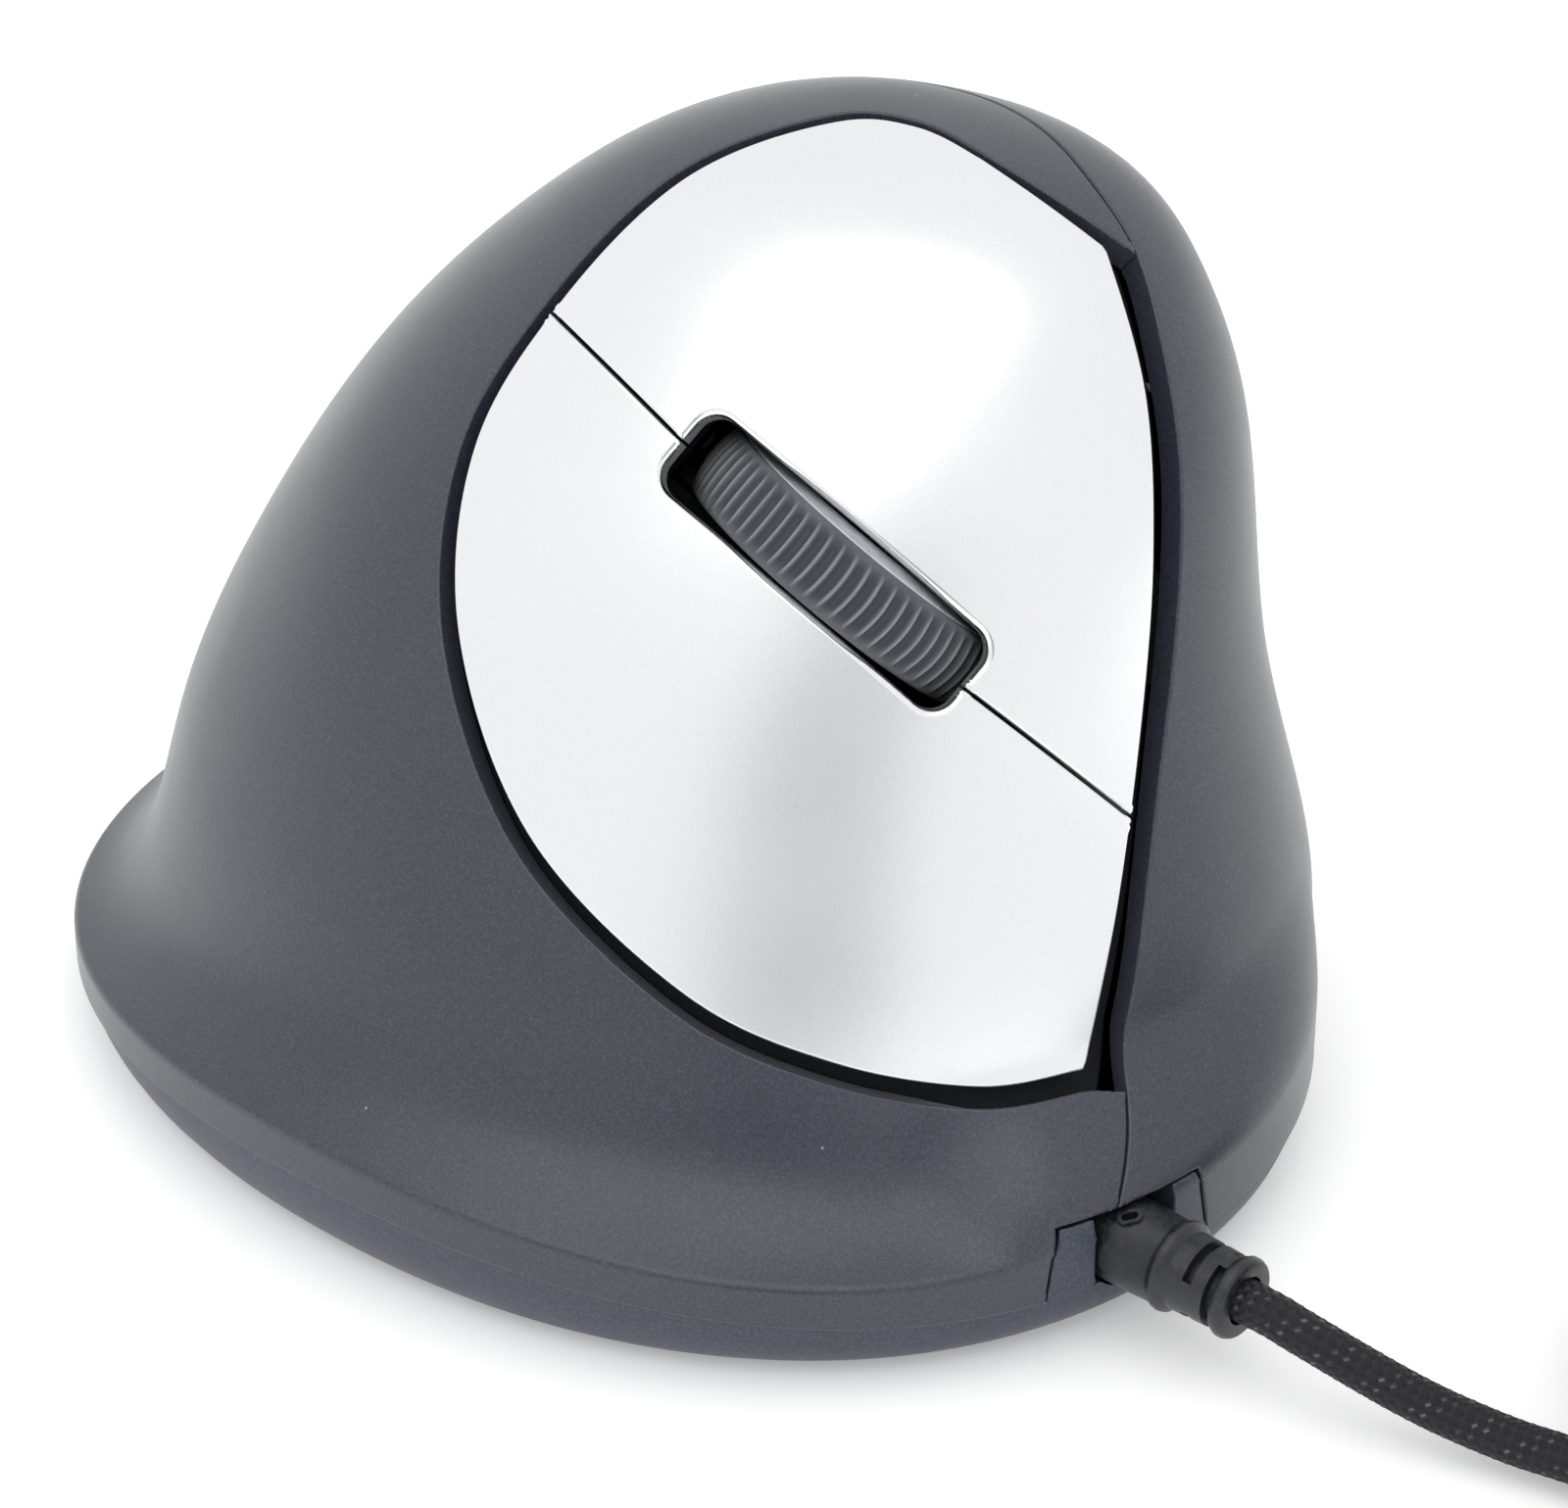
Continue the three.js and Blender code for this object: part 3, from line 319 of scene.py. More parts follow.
def place_grid():
    """Places spread over the whole hump, about 1.4 mm apart and closer at the rim and the crown."""
    outs = list(np.linspace(1 - RIM_ROUNDING[0], 1 + BAND * RIM_ROUNDING[1], 12))
    outs += [1 - RIM_ROUNDING[0] - rise for rise in (0.005, 0.012, 0.02, 0.03, 0.042, 0.055)]
    outs += list(np.arange(0.895, 0.3, -0.0145)) + list(np.arange(0.292, 0.012, -0.0105))
    outs += [1 + BAND * share for share in (0.45, 0.6, 0.75, 0.9)]
    rows = []
    for out in outs:
        count = 260 if out > 0.4 else 180 if out > 0.2 else 120 if out > 0.1 else 60 if out > 0.04 else 30
        rows.append(polar(np.arange(count) / count * TAU, np.full(count, out)))
    return np.vstack(rows + [np.zeros((1, 2))])


GRID = place_grid()
GRID_POINTS = surface(GRID)
GRID_NORMALS = surface_normal(GRID)

plate_u = unit(WHEEL_RUN - WHEEL_RUN @ unit(PLATE_NORMAL) * unit(PLATE_NORMAL))
plate_n = unit(PLATE_NORMAL)
plate_w = np.cross(plate_n, plate_u)


def plate_view(p):
    return np.stack([(p - PLATE_ORIGIN) @ plate_u, (p - PLATE_ORIGIN) @ plate_w], 1)


def front_view(p):
    return p[:, [0, 2]]


def side_view(p):
    return p[:, [1, 2]]


PLATE_SIDE = (plate_view, plate_n)
FRONT_SIDE = (front_view, np.array([0.0, 1.0, 0.0]))
THUMB_SIDE = (side_view, np.array([-1.0, 0.0, 0.0]))


def solve(target, project, start, rounds=14):
    """Places whose surface point, seen by project, meets the target. Newton's method."""
    q = start.copy()
    step = 1e-5
    for _ in range(rounds):
        p = project(surface(q))
        a = (project(surface(q + [step, 0])) - p) / step
        b = (project(surface(q + [0, step])) - p) / step
        det = a[:, 0] * b[:, 1] - a[:, 1] * b[:, 0]
        miss = target - p
        move = np.stack([miss[:, 0] * b[:, 1] - miss[:, 1] * b[:, 0],
                         a[:, 0] * miss[:, 1] - a[:, 1] * miss[:, 0]], 1) / det[:, None]
        length = np.linalg.norm(move, axis=1, keepdims=True)
        q += move * np.minimum(1, 0.04 / np.maximum(length, 1e-12))
    return q


def laid_on(outline, side):
    """The places of a flat outline that is seen from a side and projected on the hump."""
    project, towards = side
    faces = GRID_NORMALS @ towards > 0.25
    seen = project(GRID_POINTS[faces])
    nearest = [np.argmin(((seen - p)**2).sum(1)) for p in outline]
    return solve(np.asarray(outline, float), project, GRID[faces][nearest])


def seam_x(z):
    line = through(SEAM, 0.5)
    return np.interp(z, line[:, 1], line[:, 0])


def beyond_seam(p):
    """Positive on the finger side of the seam between the covers."""
    return p[:, 0] - seam_x(p[:, 2])


def bisect(test, low, high):
    """Where test changes sign between low and high, for many values at once."""
    start = test(low) > 0
    for _ in range(40):
        middle = (low + high) / 2
        same = (test(middle) > 0) == start
        low = np.where(same, middle, low)
        high = np.where(same, high, middle)
    return low


def seam_places():
    """The seam from the front foot over the top to the rear foot."""
    over = np.radians(np.arange(100, 261, 2.0))
    top = bisect(lambda out: beyond_seam(surface(polar(over, out))), np.full(len(over), 0.01),
                 np.full(len(over), 0.95))
    arms = []
    for (low, high), first in (((20, 175), top[0]), ((-20, -175), top[-1])):
        outs = np.arange(first + 0.008, 1 + BAND + 0.03, 0.008)
        angle = bisect(lambda a: beyond_seam(surface(polar(a, outs))),
                       np.full(len(outs), math.radians(low)), np.full(len(outs), math.radians(high)))
        arms.append(polar(angle, outs))
    return np.vstack([arms[0][::-1], polar(over, top), arms[1]])


class Edge:
    """A line on the hump where a piece ends, given by its places. inward says whether the piece
    lies on the line's left; left out, it is found from the piece's keep."""

    def __init__(self, places, spacing=0.8, radius=0.25, inward=None):
        self.radius = radius
        self.inward = inward
        points = surface(places)
        along = np.concatenate([[0], np.cumsum(np.linalg.norm(np.diff(points, axis=0), axis=1))])
        steps = max(3, int(along[-1] / spacing))
        at = np.linspace(0, along[-1], steps + 1)
        self.closed = np.linalg.norm(points[0] - points[-1]) < 1e-3
        self.places = np.stack([np.interp(at, along, places[:, i]) for i in (0, 1)], 1)
        self.points = surface(self.places)
        if self.closed:
            ring = self.points[:-1]
            run = np.roll(ring, -1, axis=0) - np.roll(ring, 1, axis=0)
            run = np.vstack([run, run[:1]])
        else:
            run = np.gradient(self.points, axis=0)
        self.side = unit(np.cross(surface_normal(self.places), run))

    def moved(self, distance):
        """The places of the line moved sideways along the skin."""
        normal = surface_normal(self.places)
        target = self.points + self.side * distance
        run = np.cross(self.side, normal)

        def flat(p):
            away = p - target
            return np.stack([(away * run).sum(1), (away * self.side).sum(1)], 1)

        return solve(np.zeros_like(self.places), flat, self.places, rounds=5)


# ---------------------------------------------------------------- meshes

def row_points(points):
    return (np.asarray(points, float) + FOOTPRINT_SHIFT) * MM


def new_object(name, points, faces):
    mesh = bpy.data.meshes.new(name)
    mesh.from_pydata(row_points(points).tolist(), [], [list(map(int, f)) for f in faces])
    mesh.polygons.foreach_set("use_smooth", [True] * len(mesh.polygons))
    piece = bpy.data.objects.new(name, mesh)
    bpy.context.scene.collection.objects.link(piece)
    return piece


def finish_piece(piece, body, slot, *replaced):
    """Gives a piece the look of its slot, hangs it on the body that carries it and hides the parts it
    replaces.
    """
    piece.data.materials.clear()
    piece.data.materials.append(LOOKS[slot])
    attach(piece, body)
    if replaced:
        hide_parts(*replaced)


def shell(name, edges, keep, wall, lift=0.0, rim_line=True):
    """A closed shell that follows the hump: its skin ends at the edges, with a rounded edge,
    and keep says which points of the hump it covers."""
    lines = []
    for edge in edges:
        rounding = [edge.radius * (1 - math.cos(math.radians(a))) for a in (0, 22.5, 45, 67.5, 90)]
        rounding.append(edge.radius + 0.35)
        inward = edge.inward
        if inward is None:
            left, right = [np.mean(keep(edge.points + step * edge.side)) for step in (0.6, -0.6)]
            inward = left > right
        edge.outward = -edge.side if inward else edge.side
        for distance in rounding:
            lines.append(edge.moved(distance if inward else -distance) if distance else edge.places)
    if rim_line:
        turn = np.arange(261) / 260 * TAU
        lines.append(polar(turn, np.ones(len(turn))))
    tree = KDTree(sum(len(e.points) for e in edges))
    outward = np.vstack([e.outward for e in edges])
    radii = np.concatenate([np.full(len(e.points), e.radius) for e in edges])
    for i, point in enumerate(np.vstack([e.points for e in edges])):
        tree.insert(point, i)
    tree.balance()

    def nearest(points):
        found = [tree.find(p) for p in points]
        return np.array([f[1] for f in found]), np.array([f[0] for f in found])

    inner = keep(GRID_POINTS) | keep(GRID_POINTS + 0.2)
    candidates = GRID[inner]
    index, where = nearest(GRID_POINTS[inner])
    away = np.linalg.norm(GRID_POINTS[inner] - where, axis=1)
    flat = [Vector(q) for q in candidates[away > radii[index] + 0.75]]
    joins = []
    for line in lines:
        first = len(flat)
        flat += [Vector(q) for q in line]
        joins += [(first + i, first + i + 1) for i in range(len(line) - 1)]
    places, _, faces, _, _, _ = delaunay_2d_cdt(flat, joins, [], 0, 1e-7)
    q = np.array([[p.x, p.y] for p in places])
    faces = np.array([f for f in faces if len(f) == 3])
    points = surface(q)
    middles = q[faces].mean(1)
    kept = faces[keep(surface(middles)) & (np.hypot(*middles.T) < 1 + BAND)]
    flip = np.cross(q[kept[:, 1]] - q[kept[:, 0]], q[kept[:, 2]] - q[kept[:, 0]]) < 0
    kept[flip] = kept[flip][:, ::-1]
    used, kept = np.unique(kept, return_inverse=True)
    kept = kept.reshape(-1, 3)
    q, points = q[used], points[used]
    return closed_shell(name, q, points, kept, nearest, outward, radii, wall, lift)


def inner_direction(q, normal):
    """The way into the shell, turned gently at the tight rim so that the inside has no fold."""
    out = np.hypot(q[:, 0], q[:, 1])
    t = np.clip((1 - out) / 0.09, 0, 1)[:, None]
    level = unit(np.stack([normal[:, 0], normal[:, 1], np.zeros(len(q))], 1) + 1e-9)
    upper = surface_normal(q * np.minimum(1, 0.91 / np.maximum(out, 1e-9))[:, None])
    return np.where(t >= 1, normal, unit(level * (1 - t) + upper * t))


def closed_shell(name, q, points, faces, nearest, outward, radii, wall, lift):
    """The skin, the inside and the rim between them. The skin falls away in a round at its edge,
    and its shading follows that round."""
    normal = surface_normal(q)
    index, where = nearest(points)
    radius = radii[index][:, None]
    away = np.minimum(np.linalg.norm(points - where, axis=1)[:, None], radius)
    lean = (radius - away) / radius
    level = np.sqrt(np.maximum(1 - lean**2, 0))
    skin = points + normal * (lift - radius * (1 - level))
    within = points - inner_direction(q, normal) * (wall - lift)
    shade = unit(normal * level + outward[index] * lean)
    pairs = dict.fromkeys((int(f[k - 1]), int(f[k])) for f in faces for k in (1, 2, 0))
    rim = [(i, j) for i, j in pairs if (j, i) not in pairs]
    count = len(points)
    all_faces = [tuple(f) for f in faces] + [tuple(count + v for v in f[::-1]) for f in faces]
    all_faces += [(j, i, i + count, j + count) for i, j in rim]
    piece = new_object(name, np.vstack([skin, within]), all_faces)
    ways = {(i, j): unit(np.cross(points[j] - points[i], normal[i])) for i, j in rim}
    rim_side = {}
    for pair, way in ways.items():
        for v in pair:
            rim_side[v] = rim_side.get(v, 0) + way
    shades = [shade[v] for f in faces for v in f] + [-normal[v] for f in faces for v in f[::-1]]
    for (i, j), way in ways.items():
        first, last = [side if side @ way > 0.8 else way for side in (unit(rim_side[j]), unit(rim_side[i]))]
        shades += [first, last, last, first]
    piece.data.normals_split_custom_set([tuple(n) for n in shades])
    return piece


def turn_axes(axis):
    """Two directions across an axis, for turns of 0 and of a quarter."""
    across = unit(np.cross(axis, [0.0, 0.0, 1.0]) if abs(axis[2]) < 0.9 else np.cross(axis, [1.0, 0.0, 0.0]))
    return across, np.cross(axis, across)


def between(low, high):
    """Faces between two rings of point numbers, either of which may be a single point."""
    faces = []
    for i in range(max(len(low), len(high))):
        first, second = [ring[i % len(ring)] for ring in (low, high)]
        first_next, second_next = [ring[(i + 1) % len(ring)] for ring in (low, high)]
        faces.append(tuple(dict.fromkeys((first, first_next, second_next, second))))
    return faces


def sleeve(rings):
    """Faces from each ring of point numbers to the next."""
    return [face for low, high in zip(rings[:-1], rings[1:]) for face in between(low, high)]


def rows_of(count, steps):
    """The point numbers of rings of that many steps, one ring after another."""
    return [list(range(row * steps, (row + 1) * steps)) for row in range(count)]


def solid(name, points, faces):
    piece = new_object(name, points, faces)
    outward_faces(piece)
    return piece


def lathe(name, profile, origin, axis, steps, bulge=None):
    """A turned solid. The profile holds (along, radius) pairs from one end on the axis to the
    other; bulge adds to the radius at (turn, along, radius)."""
    axis = unit(axis)
    across, third = turn_axes(axis)
    turn = np.arange(steps) / steps * TAU
    spokes = np.outer(np.cos(turn), across) + np.outer(np.sin(turn), third)
    points, rings = [], []
    for along, radius in profile:
        count = 1 if radius < 1e-9 else steps
        grown = np.full(steps, radius) + (bulge(turn, along, radius) if bulge else 0)
        rings.append(list(range(len(points), len(points) + count)))
        points += list(np.asarray(origin) + axis * along + spokes[:count] * grown[:count, None])
    return solid(name, points, sleeve(rings))


def outward_faces(piece, weld=0.0):
    """Turns the faces outwards, after joining points that are closer than weld."""
    b = bmesh.new()
    b.from_mesh(piece.data)
    if weld:
        bmesh.ops.remove_doubles(b, verts=b.verts, dist=weld)
    bmesh.ops.recalc_face_normals(b, faces=b.faces)
    b.to_mesh(piece.data)
    b.free()


def prism(name, outline, to_space, low, high):
    """A straight solid on a flat outline. to_space turns (x, y, height) rows into points."""
    count = len(outline)
    points = [to_space(np.column_stack([outline, np.full(count, height)])) for height in (low, high)]
    ends = rows_of(2, count)
    return solid(name, np.vstack(points), [tuple(end) for end in ends] + sleeve(ends))


def sharpen(piece, degrees=35):
    piece.data.set_sharp_from_angle(angle=math.radians(degrees))


def round_edges(piece, width, segments=3, degrees=35):
    """Rounds every edge that is sharper than an angle, and applies it."""
    modifier = piece.modifiers.new("edges", "BEVEL")
    modifier.width = width * MM
    modifier.segments = segments
    modifier.limit_method = "ANGLE"
    modifier.angle_limit = math.radians(degrees)
    modifier.harden_normals = False
    bake_modifiers(piece)


def bake_modifiers(piece):
    depsgraph = bpy.context.evaluated_depsgraph_get()
    mesh = bpy.data.meshes.new_from_object(piece.evaluated_get(depsgraph))
    piece.modifiers.clear()
    piece.data = mesh


def cut(piece, cutters, operation="DIFFERENCE"):
    """Joins or takes away solids, which are used up."""
    for cutter in cutters:
        modifier = piece.modifiers.new("cut", "BOOLEAN")
        modifier.operation = operation
        modifier.solver = "EXACT"
        modifier.object = cutter
        bake_modifiers(piece)
        bpy.data.objects.remove(cutter)


def upright(p):
    return p


def cylinder(radius, low, high, spot, steps=32):
    profile = [(0, 0), (0, radius), (high - low, radius), (high - low, 0)]
    return lathe("cutter", profile, (spot[0], spot[1], low), (0, 0, 1), steps)


def block(size, centre):
    x, y, z = np.array(size) / 2
    outline = [(-x, -y), (x, -y), (x, y), (-x, y)]
    return prism("cutter", outline, lambda p: p + np.array(centre), -z, z)


# ---------------------------------------------------------------- materials

class Nodes:
    """Short calls that add nodes to a tree."""

    def __init__(self, tree):
        self.nodes = tree.nodes
        self.links = tree.links

    def fill(self, node, inputs):
        for key, value in inputs.items():
            if isinstance(value, bpy.types.NodeSocket):
                self.links.new(value, node.inputs[key])
            else:
                node.inputs[key].default_value = value

    def add(self, kind, output, inputs=None, **settings):
        node = self.nodes.new("ShaderNode" + kind)
        for key, value in settings.items():
            setattr(node, key, value)
        self.fill(node, inputs or {})
        return node.outputs[output]

    def math(self, operation, a, b=0.0):
        return self.add("Math", "Value", {0: a, 1: b}, operation=operation)

    def times(self, a, b):
        return self.math("MULTIPLY", a, b)


class Look(Nodes):
    """A procedural material and short calls that add its nodes."""

    def __init__(self, name, colour, roughness, metallic=0.0, **shader):
        self.material = bpy.data.materials.new(name)
        self.material.use_nodes = True
        super().__init__(self.material.node_tree)
        self.shader = self.nodes["Principled BSDF"]
        self.fill(self.shader, {"Base Color": (*colour, 1), "Roughness": roughness, "Metallic": metallic})
        self.fill(self.shader, {key.replace("_", " "): value for key, value in shader.items()})
        self.place = self.add("TexCoord", "Object")
        self.bumps = None

    def noise(self, scale, detail=2.0, roughness=0.5, stretch=None):
        place = self.place
        if stretch:
            place = self.add("Mapping", "Vector", {"Vector": place, "Scale": stretch})
        inputs = {"Vector": place, "Scale": scale, "Detail": detail, "Roughness": roughness}
        return self.add("TexNoise", "Fac", inputs)

    def cells(self, scale, feature="F1"):
        return self.add("TexVoronoi", "Distance", {"Vector": self.place, "Scale": scale}, feature=feature)

    def ramp(self, value, start, end):
        """Maps a value from one (place, colour or grey) stop to another."""
        stops = [(at, tint if isinstance(tint, tuple) else (tint,) * 3) for at, tint in (start, end)]
        node = self.nodes.new("ShaderNodeValToRGB")
        self.fill(node, {"Fac": value})
        for element, (at, tint) in zip(node.color_ramp.elements, stops):
            element.position = at
            element.color = (*tint, 1)
        return node.outputs["Color"]

    def rise(self, value, low, high):
        """0 to 1 as a value goes from low to high."""
        return self.add("MapRange", "Result", {"Value": value, "From Min": low, "From Max": high})

    def mix(self, share, a, b):
        ends = {i: (*end, 1) if isinstance(end, tuple) else end for i, end in ((6, a), (7, b))}
        return self.add("Mix", 2, {0: share, **ends}, data_type="RGBA")

    def between(self, value, a, b):
        """From a to b as a noise goes from its usual low to its usual high."""
        return self.mix(self.ramp(value, (0.3, 0), (0.7, 1)), a, b)

    def colour(self, value):
        self.fill(self.shader, {"Base Color": value})

    def roughness(self, value):
        self.fill(self.shader, {"Roughness": value})

    def rough_between(self, value, low, high):
        self.roughness(self.ramp(value, (0.3, low), (0.7, high)))

    def bump(self, height, depth_mm, strength=1.0):
        inputs = {"Height": height, "Strength": strength, "Distance": depth_mm * MM}
        if self.bumps is not None:
            inputs["Normal"] = self.bumps
        self.bumps = self.add("Bump", "Normal", inputs)
        self.fill(self.shader, {"Normal": self.bumps})

    def edges(self):
        """1 along outer edges, 0 elsewhere."""
        return self.rise(self.add("NewGeometry", "Pointiness"), 0.52, 0.62)


def tinted(colour, share):
    return tuple(min(1.0, share * c) for c in colour)


def soft_plastic(name, dark, light, roughness, grain_depth=0.016, specks=True, **shader):
    """Matt moulded plastic: a fine grain, a slow drift of tone and rubbed edges."""
    look = Look(name, light, roughness, **shader)
    grain = look.noise(1000 / PLASTIC_GRAIN, 2, 0.6)
    tone = look.mix(look.ramp(look.noise(28, 3), (0.35, 0), (0.65, 1)), dark, light)
    tone = look.mix(look.ramp(grain, (0.3, 0.55), (0.5, 0)), tone, tinted(dark, 0.45))
    tone = look.mix(look.ramp(grain, (0.5, 0), (0.72, 0.6)), tone, tinted(light, 2.0))
    worn = look.times(look.edges(), look.noise(700, 3))
    tone = look.mix(look.times(worn, 0.35), tone, tinted(light, 2.2))
    if specks:
        dust = look.ramp(look.cells(330), (0.03, 1), (0.045, 0))
        rare = look.ramp(look.noise(160, 1), (0.58, 0), (0.62, 1))
        tone = look.mix(look.times(dust, rare), tone, (0.25, 0.25, 0.26))
    look.colour(tone)
    look.rough_between(look.noise(60, 4), roughness - 0.05, roughness + 0.05)
    look.bump(grain, grain_depth)
    return look.material


def silver_paint(name):
    look = Look(name, (0.86, 0.865, 0.88), 0.3, 0.85, Coat_Weight=0.2, Coat_Roughness=0.2)
    flake = look.noise(4200, 2, 0.7)
    tone = look.between(look.noise(35, 3), (0.85, 0.855, 0.875), (0.89, 0.893, 0.905))
    tone = look.mix(look.ramp(flake, (0.3, 0.25), (0.5, 0.0)), tone, (0.79, 0.79, 0.81))
    tone = look.mix(look.ramp(flake, (0.5, 0.0), (0.7, 0.3)), tone, (0.96, 0.96, 0.98))
    look.colour(tone)
    rough = look.math("ADD", look.times(flake, 0.06), look.times(look.noise(90, 3), 0.06))
    look.roughness(look.math("ADD", rough, 0.23))
    look.bump(flake, 0.002, 0.6)
    return look.material


def bright_edge(name):
    look = Look(name, (0.93, 0.93, 0.94), 0.12, 1.0)
    scratch = look.noise(2600, 3, 0.6)
    look.colour(look.mix(look.ramp(scratch, (0.4, 0), (0.7, 0.4)), (0.93, 0.93, 0.94), (0.8, 0.8, 0.82)))
    look.rough_between(scratch, 0.09, 0.17)
    look.bump(scratch, 0.002, 0.5)
    return look.material


def rubber(name):
    """Ribbed rubber, with painted shade between the ribs and a painted highlight along their crests."""
    look = Look(name, (0.085, 0.093, 0.106), 0.62, Specular_IOR_Level=0.4)
    grain = look.noise(5200, 3, 0.6)
    tone = look.between(look.noise(420, 3), (0.07, 0.077, 0.088), (0.1, 0.108, 0.12))
    tone = look.mix(look.ramp(grain, (0.5, 0), (0.72, 0.4)), tone, (0.16, 0.168, 0.18))
    crest = look.add("Attribute", "Fac", attribute_name="crest")
    # Painted shade: the rubber is darker between the ribs, where shade falls.
    tone = look.mix(look.rise(crest, 0.45, 0.1), tone, (0.05, 0.056, 0.067))
    # Painted highlight: the rubber is lighter along the rib crests, where the light falls.
    tone = look.mix(look.rise(crest, 0.55, 1.1), tone, (0.28, 0.292, 0.31))
    look.colour(tone)
    look.rough_between(grain, 0.5, 0.72)
    look.bump(grain, 0.014)
    return look.material


def plain_plastic(name, colour, roughness, grain=900, depth=0.006):
    look = Look(name, colour, roughness)
    grains = look.noise(grain, 4, 0.6)
    look.colour(look.between(grains, tinted(colour, 0.8), tinted(colour, 1.15)))
    look.rough_between(look.noise(grain * 0.3, 3), roughness - 0.06, roughness + 0.08)
    look.bump(grains, depth)
    return look.material


def boot_rubber(name):
    look = Look(name, (0.02, 0.021, 0.025), 0.42, Specular_IOR_Level=0.6)
    scuff = look.noise(1600, 5, 0.75)
    tone = look.mix(look.ramp(scuff, (0.42, 0), (0.7, 1)), (0.005, 0.0055, 0.0075), (0.02, 0.021, 0.025))
    warm = look.ramp(look.noise(900, 6, 0.8), (0.6, 0), (0.72, 0.5))
    look.colour(look.mix(warm, tone, (0.075, 0.068, 0.058)))
    look.rough_between(scuff, 0.24, 0.5)
    look.bump(look.noise(4200, 2, 0.6), 0.012)
    look.bump(scuff, 0.06, 0.6)
    return look.material


def braid(name):
    """Yarn wound both ways round the lead, worked out from the lead's own lengthwise map."""
    look = Look(name, (0.02, 0.02, 0.022), 0.55, Specular_IOR_Level=0.25)
    place = look.add("UVMap", "UV", uv_map="lead")
    round_share, lap = [look.add("SeparateXYZ", axis, {"Vector": place}) for axis in ("X", "Y")]
    yarn = look.times(round_share, BRAID_YARNS)
    one, other = look.math("ADD", yarn, lap), look.math("SUBTRACT", yarn, lap)
    waves = [look.math("SINE", look.times(value, math.pi)) for value in (one, other)]
    over = look.math("GREATER_THAN", look.times(*waves), 0.0)
    round_one, round_other = [look.math("ABSOLUTE", wave) for wave in waves]
    # Painted glints: light dashes on the crests of every other yarn where it lies on top, thinned by noise.
    light = look.math("GREATER_THAN", look.math("SINE", look.times(one, math.pi / 2)), 0.3)
    narrow = look.times(look.rise(round_one, 0.75, 1.0), look.rise(round_other, 0.3, 0.8))
    shown = look.times(light, look.rise(look.noise(500, 2), 0.35, 0.65))
    painted_glint = look.times(look.times(shown, over), narrow)
    fibre = look.noise(9000, 2, 0.7)
    tone = look.between(fibre, (0.006, 0.006, 0.007), (0.02, 0.02, 0.023))
    tone = look.mix(look.times(over, 0.4), tone, (0.03, 0.03, 0.034))
    # Lays the painted glints over the yarn tone.
    look.colour(look.mix(painted_glint, tone, (0.13, 0.13, 0.135)))
    look.rough_between(fibre, 0.45, 0.7)
    look.bump(look.times(round_one, round_other), 0.12, 0.8)
    look.bump(fibre, 0.02, 0.6)
    return look.material


def circuit_board(name):
    look = Look(name, (0.01, 0.08, 0.03), 0.35)
    tracks = look.ramp(look.cells(520, "DISTANCE_TO_EDGE"), (0.04, 1), (0.07, 0))
    look.colour(look.mix(tracks, (0.008, 0.07, 0.03), (0.02, 0.16, 0.06)))
    look.rough_between(look.noise(300, 3), 0.28, 0.45)
    look.bump(tracks, 0.03)
    return look.material


def clear_lens(name):
    look = Look(name, (0.9, 0.95, 1.0), 0.06, Transmission_Weight=0.9, IOR=1.49)
    waves = look.noise(200, 2)
    look.colour(look.mix(waves, (0.86, 0.92, 0.96), (0.95, 0.98, 1.0)))
    look.rough_between(waves, 0.03, 0.1)
    look.bump(waves, 0.01, 0.3)
    return look.material


def metal(name, colour, roughness, stretch):
    look = Look(name, colour, roughness, 1.0)
    lines = look.noise(900, 4, 0.6, stretch)
    look.colour(look.between(lines, tinted(colour, 0.8), colour))
    look.rough_between(lines, roughness - 0.07, roughness + 0.1)
    look.bump(lines, 0.004)
    return look.material


def fabric(name):
    look = Look(name, (0.02, 0.02, 0.022), 0.85, Sheen_Weight=0.4, Sheen_Roughness=0.5)
    loops = look.cells(2600)
    look.colour(look.mix(look.ramp(loops, (0.1, 0), (0.7, 1)), (0.05, 0.05, 0.055), (0.01, 0.01, 0.012)))
    look.rough_between(look.noise(1200, 2), 0.75, 0.95)
    look.bump(loops, 0.12)
    return look.material


MATERIALS = [
    (soft_plastic, "cover_plastic", (0.0255, 0.0292, 0.043), (0.0335, 0.0378, 0.0535), 0.36),
    (soft_plastic, "base_plastic", (0.035, 0.042, 0.061), (0.044, 0.052, 0.074), 0.4),
    (soft_plastic, "black_plastic", (0.004, 0.005, 0.007), (0.007, 0.008, 0.01), 0.6),
    (silver_paint, "silver_paint"),
    (rubber, "wheel_rubber"),
    (plain_plastic, "grey_plastic", (0.5, 0.52, 0.55), 0.28),
    (plain_plastic, "amber_plastic", (0.04, 0.016, 0.01), 0.5),
    (plain_plastic, "white_plastic", (0.75, 0.73, 0.68), 0.4),
    (plain_plastic, "glide_pad", (0.012, 0.012, 0.013), 0.3, 1500, 0.004),
    (circuit_board, "circuit_board"),
    (clear_lens, "clear_lens"),
    (metal, "screw_steel", (0.55, 0.56, 0.58), 0.32, (1, 1, 0.2)),
    (metal, "plug_steel", (0.72, 0.72, 0.74), 0.24, (0.15, 1, 1)),
    (boot_rubber, "boot_rubber"),
    (braid, "braided_lead"),
    (fabric, "tie_fabric"),
]
EXTRAS = {
    "cover_plastic": {"Specular_IOR_Level": 0.65, "Sheen_Weight": 0.2, "Sheen_Roughness": 0.35},
    "base_plastic": {"grain_depth": 0.008, "specks": False},
    "black_plastic": {"grain_depth": 0.008, "specks": False, "Specular_IOR_Level": 0.2},
}
LOOKS = {name: make(name, *values, **EXTRAS.get(name, {})) for make, name, *values in MATERIALS}
CHROME = bright_edge("slot_edge")


# ---------------------------------------------------------------- camera

